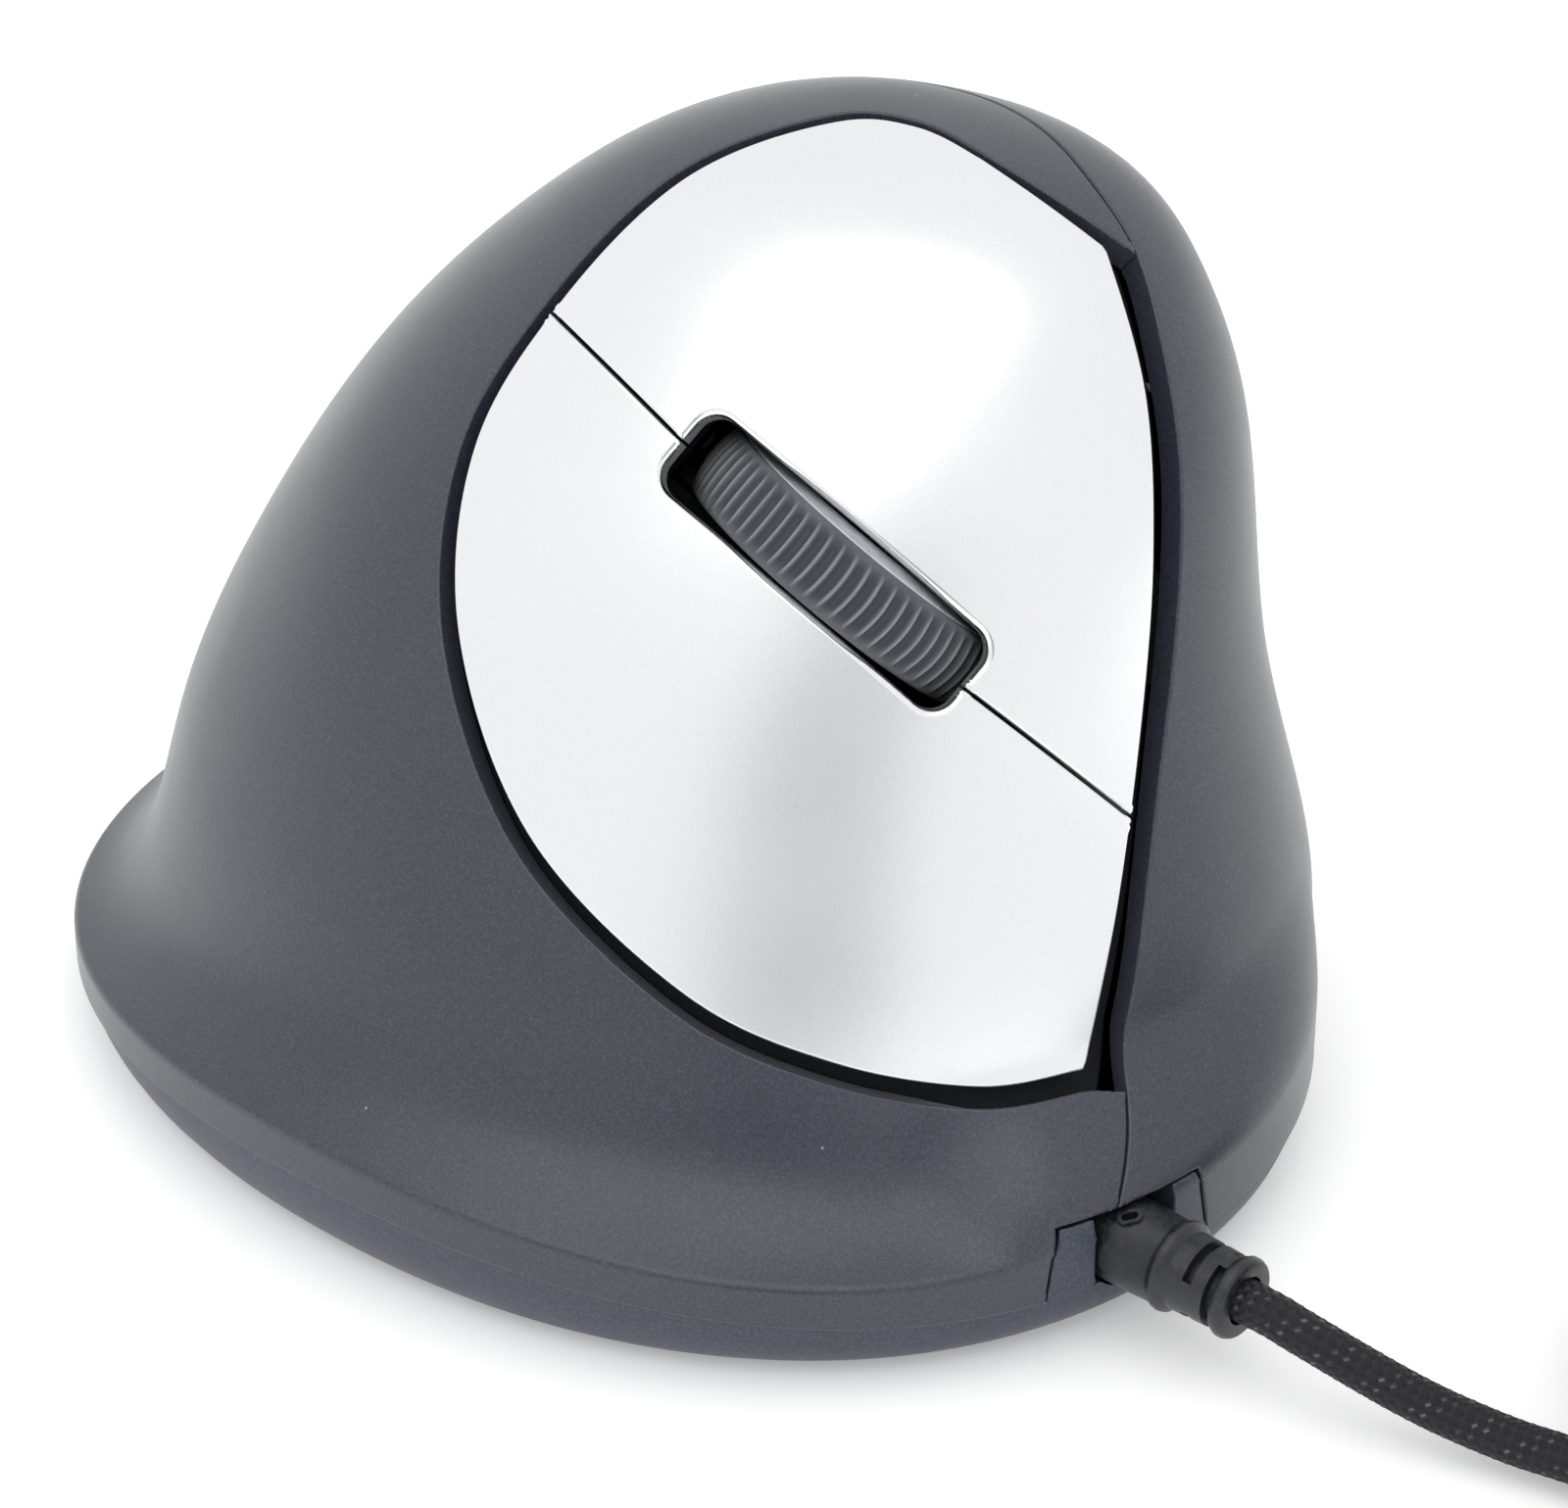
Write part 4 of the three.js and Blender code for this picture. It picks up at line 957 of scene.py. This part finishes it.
def add_camera():
    e, a = CAMERA_HEIGHT, CAMERA_AZIMUTH
    back = Vector((math.sin(a) * math.cos(e), math.cos(a) * math.cos(e), math.sin(e)))
    right = Vector((0, 0, 1)).cross(back).normalized()
    up = back.cross(right)
    turn = Matrix((right, up, back)).transposed().to_4x4() @ Matrix.Rotation(CAMERA_ROLL, 4, "Z")
    data = bpy.data.cameras.new("camera")
    data.sensor_width = 36
    data.lens = CAMERA_LENS
    camera = bpy.data.objects.new("camera", data)
    camera.matrix_world = Matrix.Translation(CAMERA_TARGET + back * CAMERA_DISTANCE) @ turn
    bpy.context.scene.collection.objects.link(camera)
    bpy.context.scene.camera = camera


# ---------------------------------------------------------------- lead

def coil_route():
    """Turns side by side, a layer at a time: inwards, up, outwards, up and so on. Each turn keeps
    its radius and moves to the next in its last sixth."""
    stations = []
    for layer in range(COIL_LAYERS):
        radii = COIL_RADII if layer % 2 == 0 else COIL_RADII[::-1]
        stations += [np.array([radius, COIL_FLOOR + COIL_RISE * layer]) for radius in radii]
    share = np.arange(TURN_STEPS) / TURN_STEPS
    turns = [start + np.outer(smooth_step(share, 5 / 6, 1), end - start)
             for start, end in zip(stations[:-1], stations[1:])]
    radius, height = np.vstack(turns + [stations[-1]]).T
    angle = np.arange(len(radius)) / TURN_STEPS * TAU
    x, y = COIL_CENTRE
    return np.column_stack([x + radius * np.cos(angle), y + radius * np.sin(angle), height])


def lead_route():
    approach = [[-5.9, 97.0, 2.9]]
    leaving = [[-6.1, 111.0, 13.95], [-5.8, 116.0, 13.75]]
    return np.vstack([[LEAD_START], LEAD_ROUTE, approach, coil_route(), leaving, TAIL_ROUTE])


def tube_frames(line):
    """Directions across a line that turn with it and don't twist."""
    run = unit(np.gradient(line, axis=0))
    across = [unit(np.cross(run[0], [0.0, 0.0, 1.0]))]
    for direction in run[1:]:
        last = across[-1]
        across.append(unit(last - (last @ direction) * direction))
    across = np.array(across)
    return run, across, np.cross(run, across)


def resampled(line, at):
    along = np.concatenate([[0], np.cumsum(np.linalg.norm(np.diff(line, axis=0), axis=1))])
    return np.stack([np.interp(at, along, line[:, i]) for i in range(3)], 1), along[-1]


def lead_piece():
    fine = through(lead_route(), 0.25)
    _, total = resampled(fine, [0])
    close = np.arange(0, 75, 0.22)
    at = np.concatenate([close, np.arange(close[-1] + 0.75, total, 0.75), [total]])
    line, _ = resampled(fine, at)
    _, across, third = tube_frames(line)
    count, sides = len(line), 36
    turn = np.arange(sides) / sides * TAU
    yarn = BRAID_YARNS * turn / TAU
    laps = (at / LEAD_DIAMETER * BRAID_PITCH)[:, None]
    weave = np.abs(np.sin((yarn + laps) * math.pi) * np.sin((yarn - laps) * math.pi))
    radius = (LEAD_DIAMETER / 2 - 0.07 + 0.1 * weave)[:, :, None]
    cos, sin = np.cos(turn)[None, :, None], np.sin(turn)[None, :, None]
    spokes = cos * across[:, None, :] + sin * third[:, None, :]
    points = (line[:, None, :] + radius * spokes).reshape(-1, 3)
    ends = [[len(points)], [len(points) + 1]]
    rings = [ends[0]] + rows_of(count, sides) + [ends[1]]
    piece = new_object("braided_lead", np.vstack([points, line[:1], line[-1:]]), sleeve(rings))
    values = [0.0, 0.0] * (3 * sides)
    for row in range(count - 1):
        for i in range(sides):
            for r, side in ((row, i), (row, i + 1), (row + 1, i + 1), (row + 1, i)):
                values += [side / sides, laps[r, 0]]
    values += [0.0, 0.0] * (3 * sides)
    piece.data.uv_layers.new(name="lead").data.foreach_set("uv", values)
    outward_faces(piece)
    finish_piece(piece, "housing", "braided_lead", "cable_lead", "cable_coil", "cable_tail")
    return piece, line


# ---------------------------------------------------------------- covers

def foot_edge():
    turn = np.arange(401) / 400 * TAU
    return Edge(polar(turn, np.full(len(turn), 1 + BAND)), inward=True)


def port_outline(margin):
    left, right = PORT_X - PORT_HALF_FLOOR - margin, PORT_X + PORT_HALF_FLOOR + margin
    return [[left, PORT_FLOOR], [PORT_X - PORT_HALF_TOP - margin, PORT_TOP + margin],
            [PORT_X + PORT_HALF_TOP + margin, PORT_TOP + margin],
            [PORT_X + PORT_HALF_SHOULDER + margin, PORT_SHOULDER], [right, PORT_FLOOR]]


def widened(outline, u_share, w_share, w_shift):
    return [[u * u_share, w * w_share + w_shift] for u, w in outline]


OPENING_ROUND = widened(PLATE_ROUND, 1.03, 1.03, -0.6)
OPENING = np.vstack([through(OPENING_ROUND, 0.8), [[55, -9], [30, 37.9]]])
OPENING_LINE = np.vstack([straight([[9, 35.9], OPENING_ROUND[0]], 0.8)[:-1], through(OPENING_ROUND, 0.8),
                          straight([OPENING_ROUND[-1], [47, -14.5]], 0.8)[1:]])
PLATE = np.vstack([through(PLATE_ROUND, 0.8), through(PLATE_EDGE, 0.8)[1:-1],
                   straight([PLATE_EDGE[-1], PLATE_ROUND[0]], 0.8)[:-1]])


def on_plate_side(p):
    return (p - PLATE_ORIGIN) @ plate_n > -24


def in_outline(p, outline):
    return inside(plate_view(p), outline) & on_plate_side(p)


def in_port(p, margin):
    return inside(front_view(p), np.array(port_outline(margin))) & (p[:, 1] > 36)


def add_covers():
    seam = Edge(seam_places())
    opening = Edge(laid_on(OPENING_LINE, PLATE_SIDE))
    port = Edge(laid_on(straight(port_outline(0.1), 0.7), FRONT_SIDE))
    foot = foot_edge()
    half = SEAM_GAP / 2
    ways = seam.moved(0.5)
    finger_way = 1 if np.mean(beyond_seam(surface(ways))) > 0 else -1
    finger_seam = Edge(seam.moved(half * finger_way))
    thumb_seam = Edge(seam.moved(-half * finger_way))
    thumb_holes = {name: thumb_outline(span, 0.3) for name, span in THUMB_SPANS.items()}

    def finger_keep(p):
        return (beyond_seam(p) > 0) & ~in_outline(p, OPENING) & ~in_port(p, 0.1)

    def thumb_keep(p):
        kept = (beyond_seam(p) < 0) & ~in_port(p, 0.1)
        for outline in thumb_holes.values():
            kept &= ~(inside(side_view(p), outline) & (p[:, 0] < -25))
        return kept

    finger = shell("finger_side_shell", [finger_seam, opening, port, foot], finger_keep, COVER_WALL)
    finish_piece(finger, "housing", "cover_plastic", "finger_side_cover")
    holes = [Edge(laid_on(outline, THUMB_SIDE)) for outline in thumb_holes.values()]
    thumb = shell("thumb_side_shell", [thumb_seam, port, foot] + holes, thumb_keep, COVER_WALL)
    finish_piece(thumb, "housing", "cover_plastic", "thumb_side_cover")


def thumb_outline(span, margin):
    length = span[1] - span[0] + 2 * margin
    height = THUMB_TALL + 2 * margin
    return rounded_rectangle(length, height, height / 2 - 0.4, ((span[0] + span[1]) / 2, THUMB_HEIGHT), 0.6)


def add_port_insert():
    hole_side = PORT_HOLE / 2
    outline = straight(port_outline(-0.1), 0.7)
    bottom = LEAD_HEIGHT - hole_side
    notch = straight([[PORT_X - hole_side, PORT_TOP + 4], [PORT_X - hole_side, bottom],
                      [PORT_X + hole_side, bottom], [PORT_X + hole_side, PORT_TOP + 4]], 0.7)
    edges = [Edge(laid_on(line, FRONT_SIDE)) for line in (outline, notch)] + [foot_edge()]

    def keep(p):
        hole = (np.abs(p[:, 0] - PORT_X) < hole_side) & (p[:, 2] > bottom) & (p[:, 1] > 36)
        return in_port(p, -0.1) & ~hole

    insert = shell("port_panels", edges, keep, COVER_WALL + 0.4, -0.05)
    finish_piece(insert, "housing", "base_plastic", "cable_port_insert")


# ---------------------------------------------------------------- finger buttons

def split_w(u):
    line = np.array(BUTTON_SPLIT, float)
    return np.interp(u, line[:, 0], line[:, 1])


def add_buttons():
    outline = Edge(laid_on(np.vstack([PLATE, PLATE[:1]]), PLATE_SIDE))
    slot_flat = rounded_rectangle(SLOT_LENGTH, SLOT_WIDTH, SLOT_CORNER)
    slot = Edge(laid_on(slot_flat, PLATE_SIDE), 0.4, 0.6)
    for name, sign in (("upper_button", 1), ("lower_button", -1)):
        shift = sign * SPLIT_GAP / 2
        split_flat = straight([[u, w + shift] for u, w in BUTTON_SPLIT], 0.8)
        lines = [split_flat[split_flat[:, 0] < -10], split_flat[split_flat[:, 0] > 10]]
        lines = [line[(line[:, 0] > -36) & (line[:, 0] < 44)] for line in lines]
        splits = [Edge(laid_on(line, PLATE_SIDE)) for line in lines]

        def keep(p):
            flat = plate_view(p)
            beyond = sign * (flat[:, 1] - split_w(flat[:, 0]) - shift) > 0
            return beyond & in_outline(p, PLATE) & ~inside(flat, slot_flat)

        button = shell(name + "_skin", [outline, slot] + splits, keep, PLATE_THICK, 0.0, False)
        finish_piece(button, name, "silver_paint", name)
        shine_near(button, slot, slot.radius + 0.1)


def shine_near(piece, edge, width):
    """Gives the faces along an edge the bright bevel finish."""
    piece.data.materials.append(CHROME)
    line = row_points(straight(edge.points, 0.1))
    tree = KDTree(len(line))
    for i, point in enumerate(line):
        tree.insert(point, i)
    tree.balance()
    near = [tree.find(v.co)[2] < width * MM for v in piece.data.vertices]
    for face in piece.data.polygons:
        if all(near[v] for v in face.vertices):
            face.material_index = 1


def add_tray():
    flat = np.array(widened(PLATE, 1.08, 1.08, 0))
    hole_flat = rounded_rectangle(46, 19, 3, (4, 1.5))
    outline = Edge(laid_on(np.vstack([flat, flat[:1]]), PLATE_SIDE))
    hole = Edge(laid_on(hole_flat, PLATE_SIDE))

    def keep(p):
        return in_outline(p, flat) & ~inside(plate_view(p), hole_flat)

    tray = shell("tray_skin", [outline, hole], keep, TRAY_DEPTH + 1.5, -TRAY_DEPTH, False)
    finish_piece(tray, "housing", "black_plastic", "button_tray")


def add_thumb_buttons():
    for name, span in THUMB_SPANS.items():
        flat = thumb_outline(span, 0)
        edge = Edge(laid_on(flat, THUMB_SIDE), 0.5, 0.65)

        def keep(p):
            return inside(side_view(p), flat) & (p[:, 0] < -25)

        button = shell(name + "_cap", [edge], keep, COVER_WALL, THUMB_PROUD, False)
        finish_piece(button, name, "silver_paint", name)


# ---------------------------------------------------------------- wheel

def wheel_frame():
    origin = (PLATE_ORIGIN + plate_u * WHEEL_CENTRE[0] + plate_w * WHEEL_CENTRE[1]
              + plate_n * WHEEL_CENTRE[2])
    axle = math.cos(WHEEL_LEAN) * plate_w + math.sin(WHEEL_LEAN) * plate_n
    return origin, axle


def rib_fade(across):
    return np.clip((TREAD_HALF - 0.25 - abs(across)) / 1.1, 0, 1)**0.7


def rib_crest(turn, across):
    """1 along the top of each rib, which bows back towards the sides, falling to 0 beside it."""
    bow = 0.6 * (across / TREAD_HALF)**2
    return (0.5 + 0.5 * np.cos(TREAD_RIBS * turn + bow * TAU / 2))**2.6


def mark_crests(tyre, origin, axle):
    """Stores on each point how near it is to the top of a rib, for the rubber's painted shade between the
    ribs and painted highlight along their crests.
    """
    points = np.array([v.co for v in tyre.data.vertices]) / MM - FOOTPRINT_SHIFT - origin
    across, third = turn_axes(axle)
    turn = np.arctan2(points @ third, points @ across)
    along = points @ axle
    crest = 0.5 + rib_fade(along) * (rib_crest(turn, along) - 0.5)
    crest[np.linalg.norm(points, axis=1) < 13.4] = 0.5
    layer = tyre.data.attributes.new("crest", "FLOAT", "POINT")
    layer.data.foreach_set("value", crest)


def add_wheel():
    origin, axle = wheel_frame()
    acrosses = np.linspace(-TREAD_HALF, TREAD_HALF, 27)
    tread = [(across, WHEEL_RADIUS - 0.5 * (across / TREAD_HALF)**2) for across in acrosses]
    shoulder = [(TREAD_HALF + 0.1, 13.85), (TREAD_HALF + 0.1, 13.5), (TREAD_HALF, 13.3),
                (TREAD_HALF - 0.05, 11.8)]
    profile = [(-a, r) for a, r in shoulder[::-1]] + tread + shoulder

    def ribs(turn, across, radius):
        return -RIB_DEPTH * rib_fade(across) * (1 - rib_crest(turn, across)) * (radius > TREAD_EDGE_RADIUS)

    tyre = lathe("ribbed_tyre", profile + [profile[0]], origin, axle, TREAD_RIBS * 12, ribs)
    outward_faces(tyre, 1e-7)
    mark_crests(tyre, origin, axle)
    finish_piece(tyre, "wheel", "wheel_rubber", "wheel_tyre")
    flank = [(1.6, 3.4), (1.6, 8.6), (2.6, 9.6), (3.5, 10.0), (3.72, 10.4), (3.7, 10.9), (3.5, 11.5),
             (3.34, 12.2), (3.22, 12.9), (3.16, 13.45), (3.06, 13.55), (2.98, 13.4), (2.9, 11.7)]
    hub_profile = [(-7, 0), (-7, 1.3), (-2.6, 1.3), (-2.6, 3)] + [(-min(a, 3.1), r) for a, r in flank]
    hub_profile += flank[::-1] + [(2.6, 3), (2.6, 1.3), (9.2, 1.3), (9.2, 0)]
    hub = lathe("wheel_rim", hub_profile, origin, axle, 192)
    sharpen(hub, 50)
    finish_piece(hub, "wheel", "grey_plastic", "wheel_hub")


# ---------------------------------------------------------------- base

def rim_ring(inset, heights, count=RIM_STEPS):
    turn = np.arange(count) / count * TAU
    whole = np.ones(count)
    points = sharp_surface(turn, whole)
    run = sharp_surface(turn + 0.01, whole) - sharp_surface(turn - 0.01, whole)
    run[:, 2] = 0
    run = unit(run)
    inwards = np.stack([-run[:, 1], run[:, 0], np.zeros(count)], 1)
    moved = points + inwards * inset
    moved[:, 2] = heights
    return moved


def add_base():
    count = RIM_STEPS
    turn = np.arange(count) / count * TAU
    foot = around_ribs(RIM_FOOT, turn) - 0.25
    rings = [rim_ring(9, BASE_UNDERSIDE)]
    for share in np.linspace(1, 0, 9):
        inset = 0.6 + 3.9 * (1 - math.cos(share * math.pi / 2))
        height = foot - (foot - BASE_UNDERSIDE) * math.sin(share * math.pi / 2)
        rings.append(rim_ring(inset, height))
    rings += [rim_ring(0.85, foot + 0.04), rim_ring(2.5, foot + 0.04), rim_ring(2.6, foot + 1.5),
              rim_ring(4.1, foot + 1.5), rim_ring(6, BASE_FLOOR)]
    points = np.vstack(rings + [[[CROWN[0], CROWN[1], BASE_UNDERSIDE]], [[CROWN[0], CROWN[1], BASE_FLOOR]]])
    faces = []
    for row in range(len(rings) - 1):
        for i in range(count):
            j = (i + 1) % count
            faces.append((row * count + i, row * count + j, (row + 1) * count + j, (row + 1) * count + i))
    low, high = len(points) - 2, len(points) - 1
    last = (len(rings) - 1) * count
    for i in range(count):
        j = (i + 1) % count
        faces.append((low, j, i))
        faces.append((high, last + i, last + j))
    base = new_object("base_tub", points, faces)
    outward_faces(base)
    cut(base, [cylinder(4.2, BASE_FLOOR - 0.5, 5, spot) for spot in SCREW_SPOTS.values()], "UNION")
    holes = [cylinder(2.6, -1, 2.9, spot) for spot in SCREW_SPOTS.values()]
    holes += [cylinder(1.5, -1, 9, spot) for spot in SCREW_SPOTS.values()]
    holes += [foot_prism(span, 0.25, -1, FOOT_THICK + 0.25) for span in FOOT_SPANS.values()]
    holes += [prism("cutter", rounded_rectangle(14.6, 9.6, 1), upright, -1, 5)]
    lead_hole = [(0, 0), (0, 4), (26, 4), (26, 0)]
    holes += [lathe("cutter", lead_hole, BOOT_START - unit(BOOT_RUN) * 6, BOOT_RUN, 48)]
    cut(base, holes)
    sharpen(base, 30)
    finish_piece(base, "housing", "base_plastic", "base_plate")


def foot_prism(span, margin, low, high):
    steps = 24
    extra = margin / 40
    start, end = math.radians(span[0]) - extra, math.radians(span[1]) + extra
    turn = np.linspace(start, end, steps + 1)
    whole = np.ones(len(turn))
    points = sharp_surface(turn, whole)
    run = sharp_surface(turn + 0.01, whole) - sharp_surface(turn - 0.01, whole)
    run[:, 2] = 0
    run = unit(run)
    inwards = np.stack([-run[:, 1], run[:, 0]], 1)
    outer = points[:, :2] + inwards * (FOOT_INSET[0] - margin)
    inner = points[:, :2] + inwards * (FOOT_INSET[1] + margin)
    return prism("cutter", np.vstack([outer, inner[::-1]]), upright, low, high)


def add_feet():
    for name, span in FOOT_SPANS.items():
        foot = foot_prism(span, 0, 0, FOOT_THICK)
        foot.name = name + "_pad"
        round_edges(foot, 0.3, 3, 60)
        sharpen(foot, 40)
        finish_piece(foot, "housing", "glide_pad", name)


def add_screws():
    profile = [(1.3, 0), (1.12, 0.9), (1.18, 1.6), (1.5, 2.1), (2.0, 2.15), (2.6, 1.8), (2.6, 1.1),
               (12.6, 1.1), (13.6, 0)]
    for name, (x, y) in SCREW_SPOTS.items():
        screw = lathe(name + "_turned", profile, (x, y, 0), (0, 0, 1), 32)
        cut(screw, [block(size, (x, y, 1.2)) for size in ((2.2, 0.5, 1.6), (0.5, 2.2, 1.6))])
        sharpen(screw, 40)
        finish_piece(screw, "housing", "screw_steel", name)


# ---------------------------------------------------------------- boot, tie and plug

def add_boot():
    axis = unit(BOOT_RUN)
    profile = [(0, 0), (0, 3.4), (2.6, 3.4), (2.6, 4.6), (4.6, 4.6), (4.6, 3.72), (8, 3.74), (12, 3.7),
               (14.3, 3.62), (14.6, 3.7), (14.8, 3.86), (15.1, 3.92), (15.45, 3.84), (15.7, 3.56),
               (15.9, 3.34), (17, 3.3), (19.6, 3.2), (20.3, 3.16), (20.5, 3.34), (20.8, 3.5), (21.2, 3.5),
               (21.55, 3.34), (21.7, 3.1), (21.7, 2.1), (20.2, 2.0), (20.2, 0)]
    boot = lathe("stepped_boot", profile, BOOT_START, axis, 96)
    up = unit(np.cross(np.cross(axis, [0, 0, 1]), axis))
    side = np.cross(axis, up)
    slots = [ring_cutter(along, axis, up, side, middle, half)
             for along, middle, half in ((17.5, 0, 62), (17.5, 180, 62), (19.6, 90, 74), (19.6, 270, 74))]
    lean = math.radians(BOOT_RECESS_LEAN)
    out, across = up * math.cos(lean) + side * math.sin(lean), side * math.cos(lean) - up * math.sin(lean)
    spot = BOOT_START + axis * 11.0 + out * 3.72
    long, wide = unit(axis - across), unit(axis + across)
    cut(boot, [pill(spot, long, wide, out, 2.1, 1.3, 0.4)], "UNION")
    cut(boot, slots + [pill(spot, long, wide, out, 1.4, 0.7, 1.4)])
    round_edges(boot, 0.12, 2, 40)
    sharpen(boot, 45)
    finish_piece(boot, "housing", "boot_rubber", "cable_strain_relief")


def ring_cutter(along, axis, up, side, middle, half):
    """A piece of a ring round the boot, centred on a turn from its top."""
    corners = [(along, 2.45), (along, 4.2), (along + 0.85, 4.2), (along + 0.85, 2.45)]
    points = []
    for turn in np.radians(np.linspace(middle - half, middle + half, 25)):
        out = math.cos(turn) * up + math.sin(turn) * side
        points += [BOOT_START + axis * a + out * r for a, r in corners]
    rings = rows_of(25, 4)
    return solid("cutter", points, sleeve(rings) + [tuple(rings[0]), tuple(rings[-1])])


def pill(centre, along, side, out, length, width, depth):
    outline = rounded_rectangle(length, width, width / 2 - 0.01, spacing=0.15)

    def to_space(p):
        return centre + np.outer(p[:, 0], along) + np.outer(p[:, 1], side) + np.outer(p[:, 2], out)

    return prism("cutter", outline[:-1], to_space, -depth / 2, depth / 2)


def add_tie():
    reach = LEAD_DIAMETER / 2
    low, high = COIL_FLOOR - reach - 0.05, COIL_FLOOR + COIL_RISE * (COIL_LAYERS - 1) + reach + 0.05
    inner, outer = COIL_RADII[-1] - reach - 0.1, COIL_RADII[0] + reach + 0.1
    middle = (COIL_CENTRE[0] - (inner + outer) / 2, (low + high) / 2)

    def band(name, grown, corner, half):
        outline = rounded_rectangle(outer - inner + grown, high - low + grown, corner, middle, 0.8)[:-1]
        return prism(name, outline, lambda p: p[:, [0, 2, 1]], COIL_CENTRE[1] - half, COIL_CENTRE[1] + half)

    strap = band("lead_tie", 1.6, 2.4, 3)
    cut(strap, [band("cutter", 0, 1.6, 5)])
    round_edges(strap, 0.2, 2, 50)
    sharpen(strap, 50)
    finish_piece(strap, "housing", "tie_fabric", "coil_tie")
    return strap


def add_plug():
    x, y, z = PLUG
    end = x - 26 - 0.3

    def bar(name, width, height, corner, start, stop, rise=0, spacing=0.5):
        outline = rounded_rectangle(width, height, corner, (y, z + rise), spacing)[:-1]
        return prism(name, outline, lambda p: p[:, [2, 0, 1]], start, stop)

    grip = bar("plug_grip", 16, 8, 2.6, x - 26, x - 6, 0, 0.6)
    round_edges(grip, 0.9, 4, 50)
    neck = [(0, 0), (0, 3.3), (3, 3.0), (6.6, 2.7), (7, 2.5), (7, 0)]
    cut(grip, [lathe("cutter", neck, (x - 7, y, z), (1, 0, 0), 48)], "UNION")
    grooves = [bar("cutter", 30, 1.6, 0.5, x - 11 - 2 * i, x - 10 - 2 * i, rise)
               for i in range(4) for rise in (4.3, -4.3)]
    bore = lathe("cutter", [(0, 0), (0, 2.0), (5, 2.0), (5, 0)], (x - 3, y, z), (1, 0, 0), 32)
    cut(grip, grooves + [bore])
    round_edges(grip, 0.12, 2, 50)
    case = bar("plug_case", 12, 4.5, 0.7, end - 12, end)
    windows = [block((2.4, 2, 8), (end - 6.5, y + side, z)) for side in (-2.6, 2.6)]
    cut(case, [bar("cutter", 11.3, 3.8, 0.45, end - 14, end - 0.6)])
    cut(case, windows)
    round_edges(case, 0.08, 2, 50)
    tongue = block((10.6, 11.1, 1.5), (end - 6.2, y, z + 0.8))
    tongue.name = "plug_tongue"
    round_edges(tongue, 0.15, 2, 50)
    pieces = [(grip, "black_plastic", "usb_plug_housing"), (case, "plug_steel", "usb_plug_shell"),
              (tongue, "white_plastic", "usb_plug_tongue")]
    for piece, slot, node in pieces:
        sharpen(piece, 40)
        finish_piece(piece, "housing", slot, node)
    return [piece for piece, _, _ in pieces]


# ---------------------------------------------------------------- carried nodes, stage

def dress_carried_nodes():
    """Gives each CAD node that stays in view the finish of its slot."""
    for part in frame["record"]["subparts"]:
        node = frame["nodes"][part["node"]]
        node.data.materials.clear()
        node.data.materials.append(LOOKS[part["material_slot"]])


def add_stage():
    mesh = bpy.data.meshes.new("floor")
    corners = [(x * FLOOR_HALF, y * FLOOR_HALF, 0) for x, y in ((-1, -1), (1, -1), (1, 1), (-1, 1))]
    mesh.from_pydata(corners, [], [(0, 1, 2, 3)])
    floor = bpy.data.objects.new("floor", mesh)
    bpy.context.scene.collection.objects.link(floor)
    look = Look("floor", (0.9, 0.9, 0.9), 0.8, Emission_Color=(1, 1, 1, 1), Emission_Strength=0.25)
    look.colour(look.mix(look.noise(3, 2), (0.89, 0.89, 0.89), (0.92, 0.92, 0.92)))
    mesh.materials.append(look.material)


def add_tent():
    """An even white tent, a little darker where the camera and its stand are."""
    world = bpy.data.worlds.new("tent")
    world.use_nodes = True
    tent = Nodes(world.node_tree)
    toward = tent.add("TexCoord", "Generated")
    light = TENT_LIGHT
    for azimuth, height, inner, outer, dark in TENT_SHADES:
        azimuth, height, inner, outer = np.radians([azimuth, height, inner, outer])
        level = math.cos(height)
        middle = (math.sin(azimuth) * level, math.cos(azimuth) * level, math.sin(height))
        near = tent.add("VectorMath", "Value", {0: toward, 1: middle}, operation="DOT_PRODUCT")
        ends = {"From Min": math.cos(inner), "From Max": math.cos(outer), "To Min": dark, "To Max": 1.0}
        fade = tent.add("MapRange", "Result", {"Value": near, **ends}, interpolation_type="SMOOTHSTEP")
        light = tent.times(light, fade)
    tent.fill(tent.nodes["Background"], {"Color": (1, 1, 1, 1), "Strength": light})
    bpy.context.scene.world = world


def add_lights():
    add_tent()
    data = bpy.data.lights.new("key", "SUN")
    data.energy = KEY_LIGHT
    data.angle = KEY_SPREAD
    lamp = bpy.data.objects.new("key", data)
    lamp.rotation_euler = Vector(KEY_FROM).to_track_quat("Z", "Y").to_euler()
    bpy.context.scene.collection.objects.link(lamp)
    bpy.context.scene.view_settings.view_transform = "Standard"


# ---------------------------------------------------------------- the mouse

add_camera()
lead, lead_line = lead_piece()
add_boot()
tie = add_tie()
plug_pieces = add_plug()
(row_points([LEAD_ROUTE[0]])[0]).tolist()
row_points(lead_line).tolist()
add_covers()
add_port_insert()
add_buttons()
add_tray()
add_thumb_buttons()
add_wheel()
add_base()
add_feet()
add_screws()
dress_carried_nodes()
add_stage()
add_lights()
